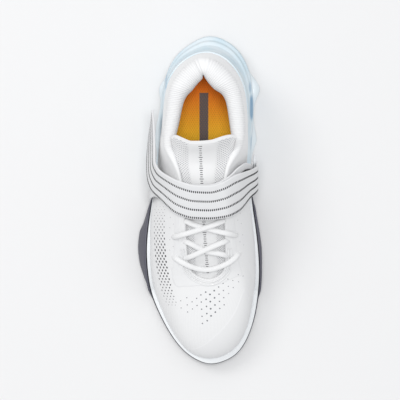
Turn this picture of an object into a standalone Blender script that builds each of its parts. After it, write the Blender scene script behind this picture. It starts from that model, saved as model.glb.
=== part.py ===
"""A weightlifting shoe for the right foot, standing empty on its sole.

Metres in Blender, millimetres in the tables. The toe points along -Y, the inner
(medial) side lies at +X and the sole's lowest plane is z = 0.
"""

import math

import bpy
import numpy as np

MM = 0.001

# Sizes that drive the shoe
GAP = 0.3  # clear space between neighbouring pieces
HEEL_END, TOE_END = 149.0, -148.5
HEEL_CENTRE_X, TOE_CENTRE_X = 9.0, 9.5
RUBBER = 3.0  # tread under the forefoot
HEEL_RUBBER = 4.0
WEDGE_FRONT = 20.0  # where the wedge meets the foam midsole
HEEL_RUBBER_FRONT = 28.0
GROOVE_WIDTH, GROOVE_DEPTH = 2.6, 1.2  # in the underside of the tread
VAMP_WALL = 2.0
INSOLE_THICKNESS = 4.0
OVERLAY = 0.9
OVERLAY_LIFT = 0.5  # from the true surface, which the facets cut by up to 0.2
OVERLAY_MARGIN = 2.5  # cloth left showing beside the throat or the sole
STRAP_THICKNESS = 1.5
LACE_RADIUS = 1.7
LACE_STAND = 4.4  # middle of a lace over the cloth, clear of the eyestay's slope
LACE_SAG = 1.8
LIP = 1.6  # how far the foam rises round the upper
TREAD_REAR = 6.0
CLIP_THICKNESS = 1.6
TONGUE_THICKNESS = 4.0
TONGUE_CROWN = 3.0
TONGUE_WING = 5.0  # how far it lies under each side of the throat
THROAT_FRONT = -62.0  # where the front of the throat starts to close
RING_WIRE = 1.1
RING_DEPTH = 8.0
TAB_THICKNESS, TAB_WIDTH = 1.2, 22.0
EDGE_STEPS = 1200
LOOP_STEPS = 72
PROFILE_STEPS = 11
LINING_STEPS = 7
RIM_STEPS = 3
LACE_STEPS, LACE_SIDES = 13, 7

# Heights along the shoe: top of the sole under the insole, the underside, and the
# top of the clip round the counter
HEIGHT_COLUMNS = "y z"
FOOTBED_ROWS = (
    (150, 33.0),
    (110, 33.0),
    (70, 31.0),
    (40, 27.0),
    (10, 21.0),
    (-20, 15.5),
    (-50, 12.5),
    (-80, 12.5),
    (-110, 14.5),
    (-150, 19.0),
)
GROUND_ROWS = (
    (150, 0.0),
    (28, 0.0),
    (12, 2.6),
    (2, 2.4),
    (-10, 0.0),
    (-88, 0.0),
    (-105, 1.0),
    (-125, 3.4),
    (-150, 7.5),
)
CLIP_ROWS = (
    (150, 60.0),
    (120, 59.0),
    (98, 55.0),
    (78, 47.0),
    (60, 39.0),
    (45, 33.5),
    (18, 25.5),
)

# Edge of the sole at its widest level, one row for each station
SOLE_COLUMNS = "y lateral medial"
SOLE_ROWS = (
    (143, -7.2, 26.5),
    (131.5, -21.1, 38.0),
    (114, -30.4, 45.6),
    (90, -35.3, 48.4),
    (65, -37.6, 48.0),
    (45, -38.2, 46.6),
    (20, -40.0, 46.0),
    (0, -43.4, 47.2),
    (-25, -47.0, 50.6),
    (-45, -48.4, 52.8),
    (-65, -47.4, 53.8),
    (-85, -43.8, 52.8),
    (-106, -35.2, 49.4),
    (-124, -25.0, 43.4),
    (-137.5, -13.6, 34.9),
    (-145.3, -2.0, 23.5),
)

# Heel plate with its flared corners
HEEL_PLATE_ROWS = (
    (141, -6.5, 26.0),
    (130, -20.0, 37.5),
    (116, -28.5, 46.0),
    (109, -33.5, 51.0),
    (101, -37.4, 54.6),
    (92, -36.4, 51.6),
    (78, -37.8, 48.9),
    (66, -40.2, 50.0),
    (54, -41.0, 51.6),
    (38, -38.5, 47.0),
)

# Grooves across the underside, each between two ends inside the edge
FOREFOOT_GROOVE_ROWS = (
    (-20, -36.0, 40.0),
    (-34, -38.0, 42.0),
    (-66, -38.0, 43.0),
    (-80, -35.0, 42.0),
)
HEEL_GROOVE_ROWS = (
    (118, -16.0, 32.0),
    (104, -24.0, 38.0),
    (64, -29.0, 39.0),
    (50, -30.0, 38.0),
)

# Rubber wraps at the ball: how far they stand out of the sole edge, and their top
WRAP_COLUMNS = "y lateral_out medial_out top"
WRAP_ROWS = (
    (12, 0.6, 0.6, 4.6),
    (-2, 1.5, 1.2, 12.0),
    (-10, 3.0, 2.2, 20.0),
    (-20, 4.6, 2.8, 25.0),
    (-31, 7.6, 3.2, 27.0),
    (-42, 8.0, 3.5, 28.0),
    (-55, 7.0, 3.0, 26.5),
    (-68, 4.4, 2.0, 23.0),
    (-80, 1.8, 1.2, 17.0),
    (-92, 0.5, 0.5, 5.0),
    (-150, 0.2, 0.2, 8.4),
)

# Side of the wedge: height as a share of the wedge, lean from edge to counter
WEDGE_STEP_COLUMNS = "share lean"
WEDGE_STEP_ROWS = (
    (0.22, 0.0),
    (0.44, 0.08),
    (0.50, 0.26),
    (0.78, 0.38),
    (0.84, 0.58),
    (1.05, 0.76),
)

# The upper, one row for each section round the loop. foot is where it meets the
# sole and top is the outer edge of the collar or throat. The two handles bow the
# section out and up from the foot, and out and down from the top.
UPPER_COLUMNS = (
    "foot_x foot_y low_out low_up high_out high_down top_x top_y top_z wall"
)
UPPER_ROWS = {
    "heel_back": (8.0, 130.5, 3.5, 22, 5.0, 22, 4.5, 126.0, 95.0, 11.0),
    "heel_lateral": (-12.0, 124.0, 3.5, 22, 5.0, 22, -11.5, 119.5, 94.0, 16.0),
    "counter_lateral": (-25.5, 107.0, 3.5, 21, 4.5, 22, -24.5, 104.0, 91.0, 15.5),
    "ankle_lateral": (-30.5, 84.0, 3.0, 20, 3.5, 20, -29.5, 84.0, 88.0, 14.0),
    "collar_lateral": (-33.0, 62.0, 3.0, 22, 3.0, 20, -32.0, 62.0, 89.5, 12.0),
    "corner_lateral": (-36.0, 43.0, 3.0, 24, 5.0, 22, -31.0, 45.0, 98.0, 8.0),
    "instep_lateral": (-38.5, 24.0, 3.0, 26, 9.0, 16, -22.5, 29.0, 102.0, 4.0),
    "lace_lateral": (-42.0, 0.0, 3.0, 24, 13.0, 8, -16.0, 3.0, 93.0, 3.0),
    "ball_lateral": (-45.6, -32.0, 3.0, 21, 14.0, 6, -14.3, -28.0, 78.0, 3.0),
    "joint_lateral": (-44.5, -66.0, 3.0, 20, 17.0, 5, -12.6, -52.0, 66.0, 3.0),
    "vamp_lateral": (-33.8, -100.0, 3.0, 20, 20.0, 6, -10.5, -62.0, 60.8, 3.0),
    "toe_lateral": (-14.0, -133.0, 2.5, 21, 32.0, 8, -3.7, -68.7, 57.5, 3.0),
    "toe_tip": (8.0, -143.3, 2.0, 22, 38.0, 9, 6.5, -72.3, 56.5, 3.0),
    "toe_medial": (32.5, -132.5, 2.5, 22, 33.0, 8, 16.5, -69.5, 57.5, 3.0),
    "vamp_medial": (45.5, -99.0, 3.0, 22, 24.0, 7, 23.0, -62.0, 60.8, 3.0),
    "joint_medial": (50.0, -63.0, 3.0, 21, 18.0, 6, 24.2, -51.0, 66.0, 3.0),
    "ball_medial": (48.4, -31.0, 3.0, 23, 15.0, 7, 23.8, -28.0, 78.0, 3.0),
    "lace_medial": (43.8, 0.0, 3.0, 26, 12.0, 10, 22.6, 3.0, 93.0, 3.0),
    "instep_medial": (41.6, 25.0, 3.0, 27, 9.0, 18, 26.5, 29.0, 103.0, 4.0),
    "corner_medial": (41.6, 44.0, 3.0, 25, 6.0, 22, 36.0, 44.0, 100.0, 8.0),
    "collar_medial": (40.6, 62.0, 3.5, 22, 3.5, 20, 39.8, 62.0, 92.0, 13.0),
    "ankle_medial": (39.8, 84.0, 3.5, 20, 4.0, 20, 38.3, 84.0, 91.0, 14.5),
    "counter_medial": (35.5, 106.0, 3.5, 21, 4.5, 22, 33.0, 103.5, 93.0, 15.5),
    "heel_medial": (24.5, 123.5, 3.5, 22, 5.0, 22, 20.5, 118.5, 95.0, 16.0),
}
TOE_ROW = list(UPPER_ROWS).index("toe_tip")
THROAT_FIRST_ROW, THROAT_LAST_ROW = 5.6, 18.4  # rows whose top is the throat's edge

# Overlays, as a width of cloth covered from the throat edge or from the sole.
# A row is counted in sections of the upper, from heel_back.
OVERLAY_COLUMNS = "row width"
EYESTAY_ROWS = (
    (6.2, 5.0),
    (6.6, 9.0),
    (7.2, 11.0),
    (8.0, 12.0),
    (9.0, 15.0),
    (9.7, 20.0),
    (10.3, 21.0),
    (11.0, 13.0),
    (11.7, 7.0),
    (12.4, 6.5),
    (13.2, 9.0),
    (13.8, 14.0),
    (14.3, 19.0),
    (14.7, 15.0),
    (15.2, 11.5),
    (16.0, 11.5),
    (16.8, 10.5),
    (17.3, 8.0),
    (17.7, 5.0),
)
TOE_CAP_ROWS = (
    (10.9, 5.0),
    (11.3, 14.0),
    (11.8, 25.0),
    (12.3, 38.0),
    (12.8, 48.0),
    (13.3, 54.0),
    (13.7, 50.0),
    (14.0, 30.0),
    (14.2, 8.0),
)

# Tongue: stations under the throat, places across it as a share of half its width,
# and its two last rows above the throat
TONGUE_STATIONS = (-82.0, -74.0, -66.0, -58.0, -48.0, -36.0, -22.0, -8.0, 6.0, 20.0, 32.0)
TONGUE_SHARES = (-0.98, -0.66, -0.33, 0.0, 0.33, 0.66, 0.98)
TONGUE_TOP_COLUMNS = "y left_x left_z mid_z right_x right_z"
TONGUE_TOP_ROWS = (
    (44.0, -19.0, 104.0, 110.5, 23.5, 105.0),
    (54.5, -20.0, 111.5, 119.5, 26.0, 112.5),
)

# Strap: rear and front edge at each fold, from the loose end over the instep,
# round the ring and back under itself to the outer side
STRAP_COLUMNS = "rear_x rear_y rear_z front_x front_y front_z"
STRAP_ROWS = (
    (-42.5, 81.0, 54.0, -43.8, 74.0, 21.0),
    (-41.0, 66.0, 64.0, -46.5, 50.0, 35.0),
    (-40.4, 50.0, 74.0, -47.6, 34.0, 46.0),
    (-40.2, 36.0, 83.0, -47.0, 21.0, 55.0),
    (-37.0, 28.0, 92.0, -43.6, 9.5, 66.0),
    (-28.5, 21.5, 102.5, -34.5, 0.0, 80.0),
    (-16.0, 16.0, 108.0, -20.5, -12.5, 90.5),
    (-4.0, 13.0, 110.0, -6.0, -17.0, 93.5),
    (8.0, 12.5, 110.0, 8.0, -17.5, 93.5),
    (19.0, 15.5, 109.8, 22.5, -16.0, 94.0),
    (32.0, 22.5, 103.8, 34.0, -11.0, 85.5),
    (43.0, 26.0, 89.0, 45.0, 2.0, 66.0),
    (48.5, 28.5, 77.0, 49.6, 6.0, 52.0),
    (50.9, 30.8, 69.5, 51.3, 8.8, 44.5),
    (50.6, 34.2, 66.4, 51.0, 12.2, 41.4),
    (48.6, 34.9, 65.8, 49.0, 12.9, 40.8),
    (46.6, 34.2, 66.4, 47.0, 12.2, 41.4),
    (46.3, 30.8, 69.5, 46.7, 8.8, 44.5),
    (44.6, 32.0, 76.0, 45.6, 5.0, 53.0),
    (40.5, 33.0, 85.0, 41.6, 0.0, 66.0),
    (34.0, 29.0, 96.5, 33.6, -6.0, 80.5),
    (24.0, 20.0, 104.2, 23.5, -11.0, 90.6),
    (8.0, 13.5, 107.0, 8.0, -14.5, 91.8),
    (-6.0, 13.5, 106.3, -7.0, -14.5, 90.4),
    (-17.0, 16.0, 103.0, -21.0, -10.0, 86.0),
    (-27.5, 20.5, 95.5, -33.0, 1.0, 76.0),
    (-35.5, 22.0, 80.0, -40.6, 3.0, 62.0),
    (-40.8, 21.0, 60.0, -44.6, 1.0, 46.0),
    (-42.6, 20.0, 27.0, -46.0, -2.0, 25.0),
)

# Bar of the ring inside the strap's fold, and the tab's line from the middle of
# the ring's lower bar down into the side of the shoe
RING_BAR_REAR, RING_BAR_FRONT = (48.6, 33.0, 67.5), (49.0, 11.0, 42.5)
TAB_COLUMNS = "x y z"
TAB_ROWS = (
    (-1.9, -3.0, 3.4),
    (-2.2, 0.5, -0.5),
    (-1.6, 3.0, -5.0),
    (-1.4, 5.0, -12.0),
)

# Lace runs over the throat, in plan, with how high each lies over the shoe. Runs
# of one name are joined where they cross.
LACE_COLUMNS = "x y lift"
LACE_RUNS = {
    "lace_bar_front": (
        (
            (-21.8, -51.9, 0.0),
            (-14.3, -56.6, 0.0),
            (-3.7, -60.9, 1.5),
            (6.9, -62.4, 2.0),
            (18.4, -59.3, 1.5),
            (27.9, -54.6, 0.0),
            (33.7, -48.8, 0.0),
        ),
    ),
    "lace_crossing_low": (
        ((-15.5, -51.6, -0.1), (-3.0, -46.4, 2.3), (7.5, -42.0, 3.5), (26.5, -34.4, -0.1)),
        ((-16.5, -37.2, -0.1), (-3.0, -42.0, 1.4), (9.0, -45.0, 1.8), (28.0, -50.2, -0.1)),
    ),
    "lace_crossing_high": (
        ((-22.5, -32.8, 0.4), (-10.0, -29.2, 2.0), (6.0, -24.2, 3.6), (18.0, -20.4, 2.6)),
        ((-11.0, -20.4, 1.4), (2.0, -24.2, 1.9), (14.0, -27.4, 1.9), (32.0, -31.2, 0.4)),
    ),
}

MATERIALS = {
    "knit_white": ((0.87, 0.87, 0.87), 0.75),
    "overlay_white": ((0.88, 0.88, 0.89), 0.45),
    "foam_white": ((0.86, 0.88, 0.9), 0.55),
    "wedge_blue": ((0.55, 0.72, 0.82), 0.25),
    "clear_rubber": ((0.8, 0.85, 0.87), 0.3),
    "grey_rubber": ((0.09, 0.09, 0.11), 0.6),
    "orange_mesh": ((0.85, 0.4, 0.03), 0.8),
    "webbing_white": ((0.85, 0.85, 0.85), 0.7),
    "lace_white": ((0.9, 0.9, 0.9), 0.8),
    "ring_white": ((0.82, 0.84, 0.86), 0.3),
}


def clear_scene():
    for thing in list(bpy.data.objects):
        bpy.data.objects.remove(thing, do_unlink=True)


def material(slot):
    found = bpy.data.materials.get(slot)
    if found:
        return found
    colour, roughness = MATERIALS[slot]
    found = bpy.data.materials.new(slot)
    found.use_nodes = True
    shader = found.node_tree.nodes["Principled BSDF"]
    shader.inputs["Base Color"].default_value = (*colour, 1.0)
    shader.inputs["Roughness"].default_value = roughness
    found.diffuse_color = (*colour, 1.0)
    return found


def columns(names, rows):
    """A table's columns by name."""
    return dict(zip(names.split(), np.array(list(rows), float).T))


def unit(vectors):
    length = np.linalg.norm(vectors, axis=-1, keepdims=True)
    return vectors / np.maximum(length, 1e-9)


def along(keys, values, wanted):
    """Smooth values at the wanted keys, with no overshoot between the rows."""
    keys, values = np.asarray(keys, float), np.asarray(values, float)
    if keys[0] > keys[-1]:
        keys, values = keys[::-1], values[::-1]
    step = np.diff(keys)
    slope = np.diff(values) / step
    product = slope[:-1] * slope[1:]
    total = np.where(product > 0, slope[:-1] + slope[1:], 1.0)
    inner = np.where(product > 0, 2 * product / total, 0.0)
    tangent = np.concatenate([[slope[0]], inner, [slope[-1]]])
    wanted = np.clip(wanted, keys[0], keys[-1])
    i = np.clip(np.searchsorted(keys, wanted) - 1, 0, len(step) - 1)
    t = (wanted - keys[i]) / step[i]
    return (
        values[i] * (1 + 2 * t) * (1 - t) ** 2
        + values[i + 1] * t * t * (3 - 2 * t)
        + step[i] * (tangent[i] * t * (1 - t) ** 2 - tangent[i + 1] * t * t * (1 - t))
    )


def looped_spline(knots, values, wanted):
    """Periodic cubic spline through the rows. knots has one more entry than values."""
    count = len(values)
    step = np.diff(knots)
    slope = (np.roll(values, -1, axis=0) - values) / step[:, None]
    system = np.zeros((count, count))
    right = np.zeros_like(values)
    for i in range(count):
        before, after = step[i - 1], step[i]
        system[i, i - 1] += after
        system[i, i] += 2 * (before + after)
        system[i, (i + 1) % count] += before
        right[i] = 3 * (after * slope[i - 1] + before * slope[i])
    tangent = np.linalg.solve(system, right)
    wanted = np.mod(wanted, knots[-1])
    i = np.clip(np.searchsorted(knots, wanted, side="right") - 1, 0, count - 1)
    j = (i + 1) % count
    t = ((wanted - knots[i]) / step[i])[:, None]
    h = step[i][:, None]
    return (
        values[i] * (1 + 2 * t) * (1 - t) ** 2
        + values[j] * t * t * (3 - 2 * t)
        + h * (tangent[i] * t * (1 - t) ** 2 - tangent[j] * t * t * (1 - t))
    )


def travelled(points):
    """Length along a line of points, from its first one."""
    return np.concatenate([[0], np.cumsum(np.linalg.norm(np.diff(points, axis=0), axis=1))])


def resampled(points, count):
    """The same line with count points at equal spacing."""
    length = travelled(points)
    wanted = np.linspace(0, length[-1], count)
    return np.stack([np.interp(wanted, length, axis) for axis in points.T], axis=1)


def level(rows, y):
    """Height from a table of heights along the shoe."""
    table = columns(HEIGHT_COLUMNS, rows)
    return along(table["y"], table["z"], y)


def footbed(y):
    return level(FOOTBED_ROWS, y)


def ground(y):
    return level(GROUND_ROWS, y)


# The upper's surface

UPPER = columns(UPPER_COLUMNS, UPPER_ROWS.values())
SECTION = np.stack(list(UPPER.values()), axis=1)
ROWS = len(SECTION)
ROW_STEP = np.sqrt(
    np.linalg.norm(np.roll(SECTION[:, :2], -1, axis=0) - SECTION[:, :2], axis=1)
)
KNOTS = np.concatenate([[0], np.cumsum(ROW_STEP)])


def knot_of(row):
    """Spline parameter of a place counted in rows."""
    whole = np.floor(row).astype(int)
    turn, inside = np.divmod(whole, ROWS)
    return KNOTS[inside] + (row - whole) * ROW_STEP[inside] + turn * KNOTS[-1]


def upper_frame(row):
    """Section values and the outward direction of the foot line at each row."""
    u = knot_of(np.asarray(row, float))
    values = looped_spline(KNOTS, SECTION, u)
    step = KNOTS[-1] * 1e-4
    ahead = looped_spline(KNOTS, SECTION[:, :2], u + step)
    behind = looped_spline(KNOTS, SECTION[:, :2], u - step)
    run = unit(ahead - behind)
    return values, np.stack([run[:, 1], -run[:, 0], np.zeros(len(run))], axis=1)


def outer_point(row, v):
    """Points on the outer surface, v running from the sole to the top edge."""
    row, v = np.broadcast_arrays(np.asarray(row, float), np.asarray(v, float))
    shape = row.shape
    values, outward = upper_frame(row.ravel())
    t = v.ravel()[:, None]
    up = np.array([0.0, 0.0, 1.0])
    foot = np.column_stack([values[:, 0], values[:, 1], footbed(values[:, 1]) + GAP])
    low = foot + outward * values[:, 2:3] + up * values[:, 3:4]
    top = values[:, 6:9]
    high = top + outward * values[:, 4:5] - up * values[:, 5:6]
    points = (
        foot * (1 - t) ** 3
        + low * 3 * t * (1 - t) ** 2
        + high * 3 * t * t * (1 - t)
        + top * t**3
    )
    return points.reshape(*shape, 3)


def outer_normal(row, v):
    """Outward normal of the outer surface."""
    row, v = np.broadcast_arrays(np.asarray(row, float), np.asarray(v, float))
    small = 1e-3
    v = np.clip(v, small, 1 - small)
    across = outer_point(row + small, v) - outer_point(row - small, v)
    rise = outer_point(row, v + small) - outer_point(row, v - small)
    return unit(np.cross(across, rise))


def wall(row, v):
    """Wall thickness: cloth at the sole, padding at the collar."""
    row, v = np.broadcast_arrays(np.asarray(row, float), np.asarray(v, float))
    values, _ = upper_frame(row.ravel())
    t = np.clip((v - 0.3) / 0.6, 0, 1)
    swell = (t * t * (3 - 2 * t)).ravel()
    return (VAMP_WALL + (values[:, 9] - VAMP_WALL) * swell).reshape(row.shape)


def inner_point(row, v):
    return outer_point(row, v) - outer_normal(row, v) * wall(row, v)[..., None]


def v_at_height(surface, row, height):
    """Where each section first reaches a height."""
    v = np.linspace(0, 0.8, 81)
    lines = np.maximum.accumulate(surface(row[:, None], v[None, :])[:, :, 2], axis=1)
    return np.array([np.interp(z, line, v) for line, z in zip(lines, height)])


def place_at_cloth(row, width, from_top):
    """v at a width of cloth measured from the top edge or from the foot."""
    v = np.linspace(0, 1, 121)
    length = travelled(outer_point(np.full(len(v), row), v))
    wanted = length[-1] - width if from_top else width
    return float(np.interp(wanted, length, v))


# Closed solids

def add_solid(name, points, faces, slot):
    mesh = bpy.data.meshes.new(name)
    mesh.from_pydata([tuple(p) for p in np.asarray(points) * MM], [], faces)
    mesh.validate()
    mesh.materials.append(material(slot))
    signed = 0.0
    for face in faces:
        a, b, c = (np.asarray(points[face[k]]) for k in (0, 1, 2))
        signed += np.dot(a, np.cross(b, c))
        if len(face) == 4:
            d = np.asarray(points[face[3]])
            signed += np.dot(a, np.cross(c, d))
    if signed < 0:
        mesh.flip_normals()
    made = bpy.data.objects.new(name, mesh)
    bpy.context.scene.collection.objects.link(made)
    return made


def combine(solid, other, operation):
    """Joins another solid to this one or cuts it away, and hides the other."""
    other.hide_render = True
    other.display_type = "WIRE"
    step = solid.modifiers.new(other.name, "BOOLEAN")
    step.operation = operation
    step.solver = "EXACT"
    step.object = other


def looped_grid(rings):
    """Faces of a tube of rings that closes on itself both ways."""
    many, around = len(rings), len(rings[0])
    faces = []
    for i in range(many):
        here, there = i * around, (i + 1) % many * around
        for j in range(around):
            k = (j + 1) % around
            faces.append((here + j, here + k, there + k, there + j))
    return np.concatenate(rings), faces


def capped_stack(rings, full_loop=False):
    """Rings from the underside to the top, with both ends closed across the shoe."""
    many, around = len(rings), len(rings[0])
    faces = []
    for i in range(many - 1):
        here, there = i * around, (i + 1) * around
        for j in range(around):
            k = (j + 1) % around
            faces.append((here + j, here + k, there + k, there + j))
    shift = 0 if full_loop else around - 1
    for start, turn in ((0, True), ((many - 1) * around, False)):
        for j in range(around // 2):
            corners = [j, j + 1, (shift - j - 1) % around, (shift - j) % around]
            face = tuple(start + c for c in dict.fromkeys(corners))
            if len(face) > 2:
                faces.append(face[::-1] if turn else face)
    return np.concatenate(rings), faces


def thick_sheet(grid, above, below):
    """A sheet of points given thickness along its normals."""
    down, across = np.gradient(grid, axis=0), np.gradient(grid, axis=1)
    normal = unit(np.cross(across, down))
    tall, wide = grid.shape[:2]
    upper_side = (grid + normal * above).reshape(-1, 3)
    lower_side = (grid - normal * below).reshape(-1, 3)
    under = len(upper_side)
    faces = []
    for i in range(tall - 1):
        for j in range(wide - 1):
            a, b = i * wide + j, i * wide + j + 1
            c, d = a + wide + 1, a + wide
            faces += [(a, b, c, d), (under + d, under + c, under + b, under + a)]
    edge = [(0, j) for j in range(wide)]
    edge += [(i, wide - 1) for i in range(1, tall)]
    edge += [(tall - 1, j) for j in range(wide - 2, -1, -1)]
    edge += [(i, 0) for i in range(tall - 2, 0, -1)]
    rim = [i * wide + j for i, j in edge]
    for a, b in zip(rim, rim[1:] + rim[:1]):
        faces.append((b, a, under + a, under + b))
    return np.concatenate([upper_side, lower_side]), faces


def tube(points, radius, sides):
    """Rings round a line, with flat ends."""
    points = np.asarray(points, float)
    run = unit(np.gradient(points, axis=0))
    up = np.array([0.0, 0.0, 1.0])
    side = unit(np.cross(run, up))
    rise = np.cross(side, run)
    angle = np.arange(sides)[:, None] * 2 * math.pi / sides
    rings = [
        middle + radius * (np.cos(angle) * out + np.sin(angle) * over)
        for middle, out, over in zip(points, side, rise)
    ]
    faces = []
    for i in range(len(rings) - 1):
        here, there = i * sides, (i + 1) * sides
        for j in range(sides):
            k = (j + 1) % sides
            faces.append((here + j, here + k, there + k, there + j))
    faces.append(tuple(range(sides))[::-1])
    last = (len(rings) - 1) * sides
    faces.append(tuple(range(last, last + sides)))
    return np.concatenate(rings), faces


# Outlines of the sole

def sole_edge(rows):
    """Closed outline from the heel round the lateral side to the toe and back."""
    table = columns(SOLE_COLUMNS, rows)
    lateral = np.column_stack([table["lateral"], table["y"]])
    medial = np.column_stack([table["medial"], table["y"]])[::-1]
    heel, toe = [[HEEL_CENTRE_X, HEEL_END]], [[TOE_CENTRE_X, TOE_END]]
    line = np.concatenate([heel, lateral, toe, medial])
    step = np.sqrt(np.linalg.norm(np.roll(line, -1, axis=0) - line, axis=1))
    knots = np.concatenate([[0], np.cumsum(step)])
    return looped_spline(knots, line, np.linspace(0, knots[-1], EDGE_STEPS, endpoint=False))


def ring_between(outline, y_heel, y_toe, count):
    """The part of an outline between two stations, ending at its cut."""
    toe = int(np.argmin(outline[:, 1]))
    lateral = outline[: toe + 1]
    medial = np.concatenate([outline[toe:], outline[:1]])[::-1]
    halves = []
    for line in (lateral, medial):
        keep = (line[:, 1] <= y_heel) & (line[:, 1] >= y_toe)
        halves.append(resampled(line[keep], count))
    if y_heel < HEEL_END:
        return np.concatenate([halves[0], halves[1][-2::-1]])
    return np.concatenate([halves[0][::-1], halves[1][1:]])


def inset(ring, distance):
    """A ring moved inwards by a distance."""
    x, y = ring.T
    turn = np.sign(np.sum(x * np.roll(y, -1) - y * np.roll(x, -1)))
    run = unit(np.gradient(ring, axis=0))
    inward = np.column_stack([-run[:, 1], run[:, 0]]) * turn
    return ring + inward * np.broadcast_to(distance, len(ring))[:, None]


def raised(ring, height):
    return np.column_stack([ring, np.broadcast_to(height, len(ring))])


def level_ends(rings, height):
    """Brings the two cut ends of the upper rings down to the seat."""
    for ring in rings:
        ring[[0, -1], 2] = height[[0, -1]]
    return rings


def row_at_station(y, lateral):
    """Row of the upper whose foot stands at a station, on one side."""
    first, last = (1, TOE_ROW) if lateral else (TOE_ROW, ROWS - 1)
    rows = np.linspace(first, last, 400)
    stand = outer_point(rows, np.zeros(len(rows)))[:, 1]
    order = np.argsort(stand)
    return float(np.interp(y, stand[order], rows[order]))


def rows_between(y, through, count):
    """Rows from a lateral station round the toe or the heel to the medial one."""
    first, last = row_at_station(y, True), row_at_station(y, False)
    if through == 0:
        last -= ROWS
    there, back = np.linspace(first, through, count), np.linspace(through, last, count)
    short = 0.03 * np.sign(last - first)
    return np.concatenate([[first, first + short], there[1:], back[1:-1], [last - short, last]])


def facing(row, outline):
    """The point of a sole outline straight out from each row of the foot line."""
    values, outward = upper_frame(row)
    found = []
    for foot, out in zip(values[:, :2], outward[:, :2]):
        away = outline - foot
        ahead = away @ out
        beside = away[:, 0] * out[1] - away[:, 1] * out[0]
        crossing = np.flatnonzero((beside * np.roll(beside, -1) <= 0) & (ahead > 0))
        k = crossing[np.argmin(ahead[crossing])]
        m = (k + 1) % len(outline)
        t = beside[k] / (beside[k] - beside[m])
        found.append(outline[k] + (outline[m] - outline[k]) * t)
    return np.array(found)


def cloth_ring(row, height, reach):
    """The upper's outline at a height, moved outwards."""
    v = v_at_height(outer_point, row, height)
    outward = unit(outer_normal(row, v) * [1, 1, 0])
    ring = outer_point(row, v) + outward * reach
    ring[:, 2] = height
    return ring


def build_midsole(edge):
    row = rows_between(WEDGE_FRONT - GAP, TOE_ROW, 38)
    ring = facing(row, edge)
    ring[[0, -1], 1] = WEDGE_FRONT - GAP
    foot = outer_point(row, np.zeros(len(row)))
    bed = footbed(foot[:, 1])
    low = ground(ring[:, 1]) + RUBBER + GAP
    lip = cloth_ring(row, bed + LIP, GAP + 0.15)
    seat = lip.copy()
    seat[:, 2] = bed
    rings = [
        raised(inset(ring, 2.4), low),
        raised(inset(ring, 0.2), low + 0.4 * (bed - low)),
        *level_ends([raised(inset(ring, 0.9), bed + LIP), lip], bed),
        seat,
    ]
    add_solid("midsole", *capped_stack(rings), "foam_white")


def cut_grooves(tread, rows):
    """Cuts shallow grooves across the underside, where it stands on the ground."""
    table = columns(SOLE_COLUMNS, rows)
    points, faces = [], []
    for y, lateral, medial in zip(table["y"], table["lateral"], table["medial"]):
        rear, front = y + GROOVE_WIDTH / 2, y - GROOVE_WIDTH / 2
        outline = [(lateral, rear), (lateral, front), (medial, front), (medial, rear)]
        here = len(points)
        for z in (-1.0, GROOVE_DEPTH):
            points += [(*corner, z) for corner in outline]
        for j in range(4):
            k = (j + 1) % 4
            faces.append((here + j, here + k, here + k + 4, here + j + 4))
        faces += [(here + 3, here + 2, here + 1, here), (here + 4, here + 5, here + 6, here + 7)]
    cutter = add_solid(tread.name + "_grooves", np.array(points), faces, "grey_rubber")
    combine(tread, cutter, "DIFFERENCE")


def build_forefoot_rubber(edge):
    """Tread with grooves, its edge drawn up into a wrap at the ball."""
    ring = ring_between(edge, TREAD_REAR, TOE_END - 1, 40)
    half = len(ring) // 2
    wrap = columns(WRAP_COLUMNS, WRAP_ROWS)
    y = ring[:, 1]
    lateral = along(wrap["y"], wrap["lateral_out"], y[:half])
    medial = along(wrap["y"], wrap["medial_out"], y[half:])
    reach = np.concatenate([lateral, medial])
    floor = ground(y)
    crest = np.maximum(along(wrap["y"], wrap["top"], y), floor + RUBBER + 0.8)
    crest[[0, -1]] = floor[[0, -1]] + RUBBER
    tall = np.clip((crest - floor - RUBBER - 0.8) / 12, 0, 1)
    base = floor + np.where(tall > 0, 2.6 + 5.0 * tall, 2.4)
    rings = [
        raised(inset(ring, 3.0), floor),
        raised(inset(ring, -0.85 * reach), floor + 1.6),
        raised(inset(ring, -reach), base),
        raised(inset(ring, -0.6 - 1.7 * tall), crest - 0.4 * tall),
        raised(inset(ring, -0.45), crest),
        raised(inset(ring, -0.35), floor + RUBBER),
    ]
    tread = add_solid("outsole_forefoot", *capped_stack(rings), "grey_rubber")
    cut_grooves(tread, FOREFOOT_GROOVE_ROWS)


def build_heel_rubber():
    plate = sole_edge(HEEL_PLATE_ROWS)
    ring = ring_between(plate, HEEL_END, HEEL_RUBBER_FRONT, 26)
    rings = [
        raised(inset(ring, 1.6), 0.0),
        raised(ring, 1.4),
        raised(inset(ring, 0.2), HEEL_RUBBER - 0.8),
        raised(inset(ring, 1.0), HEEL_RUBBER),
    ]
    plate = add_solid("outsole_heel", *capped_stack(rings), "clear_rubber")
    cut_grooves(plate, HEEL_GROOVE_ROWS)


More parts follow.
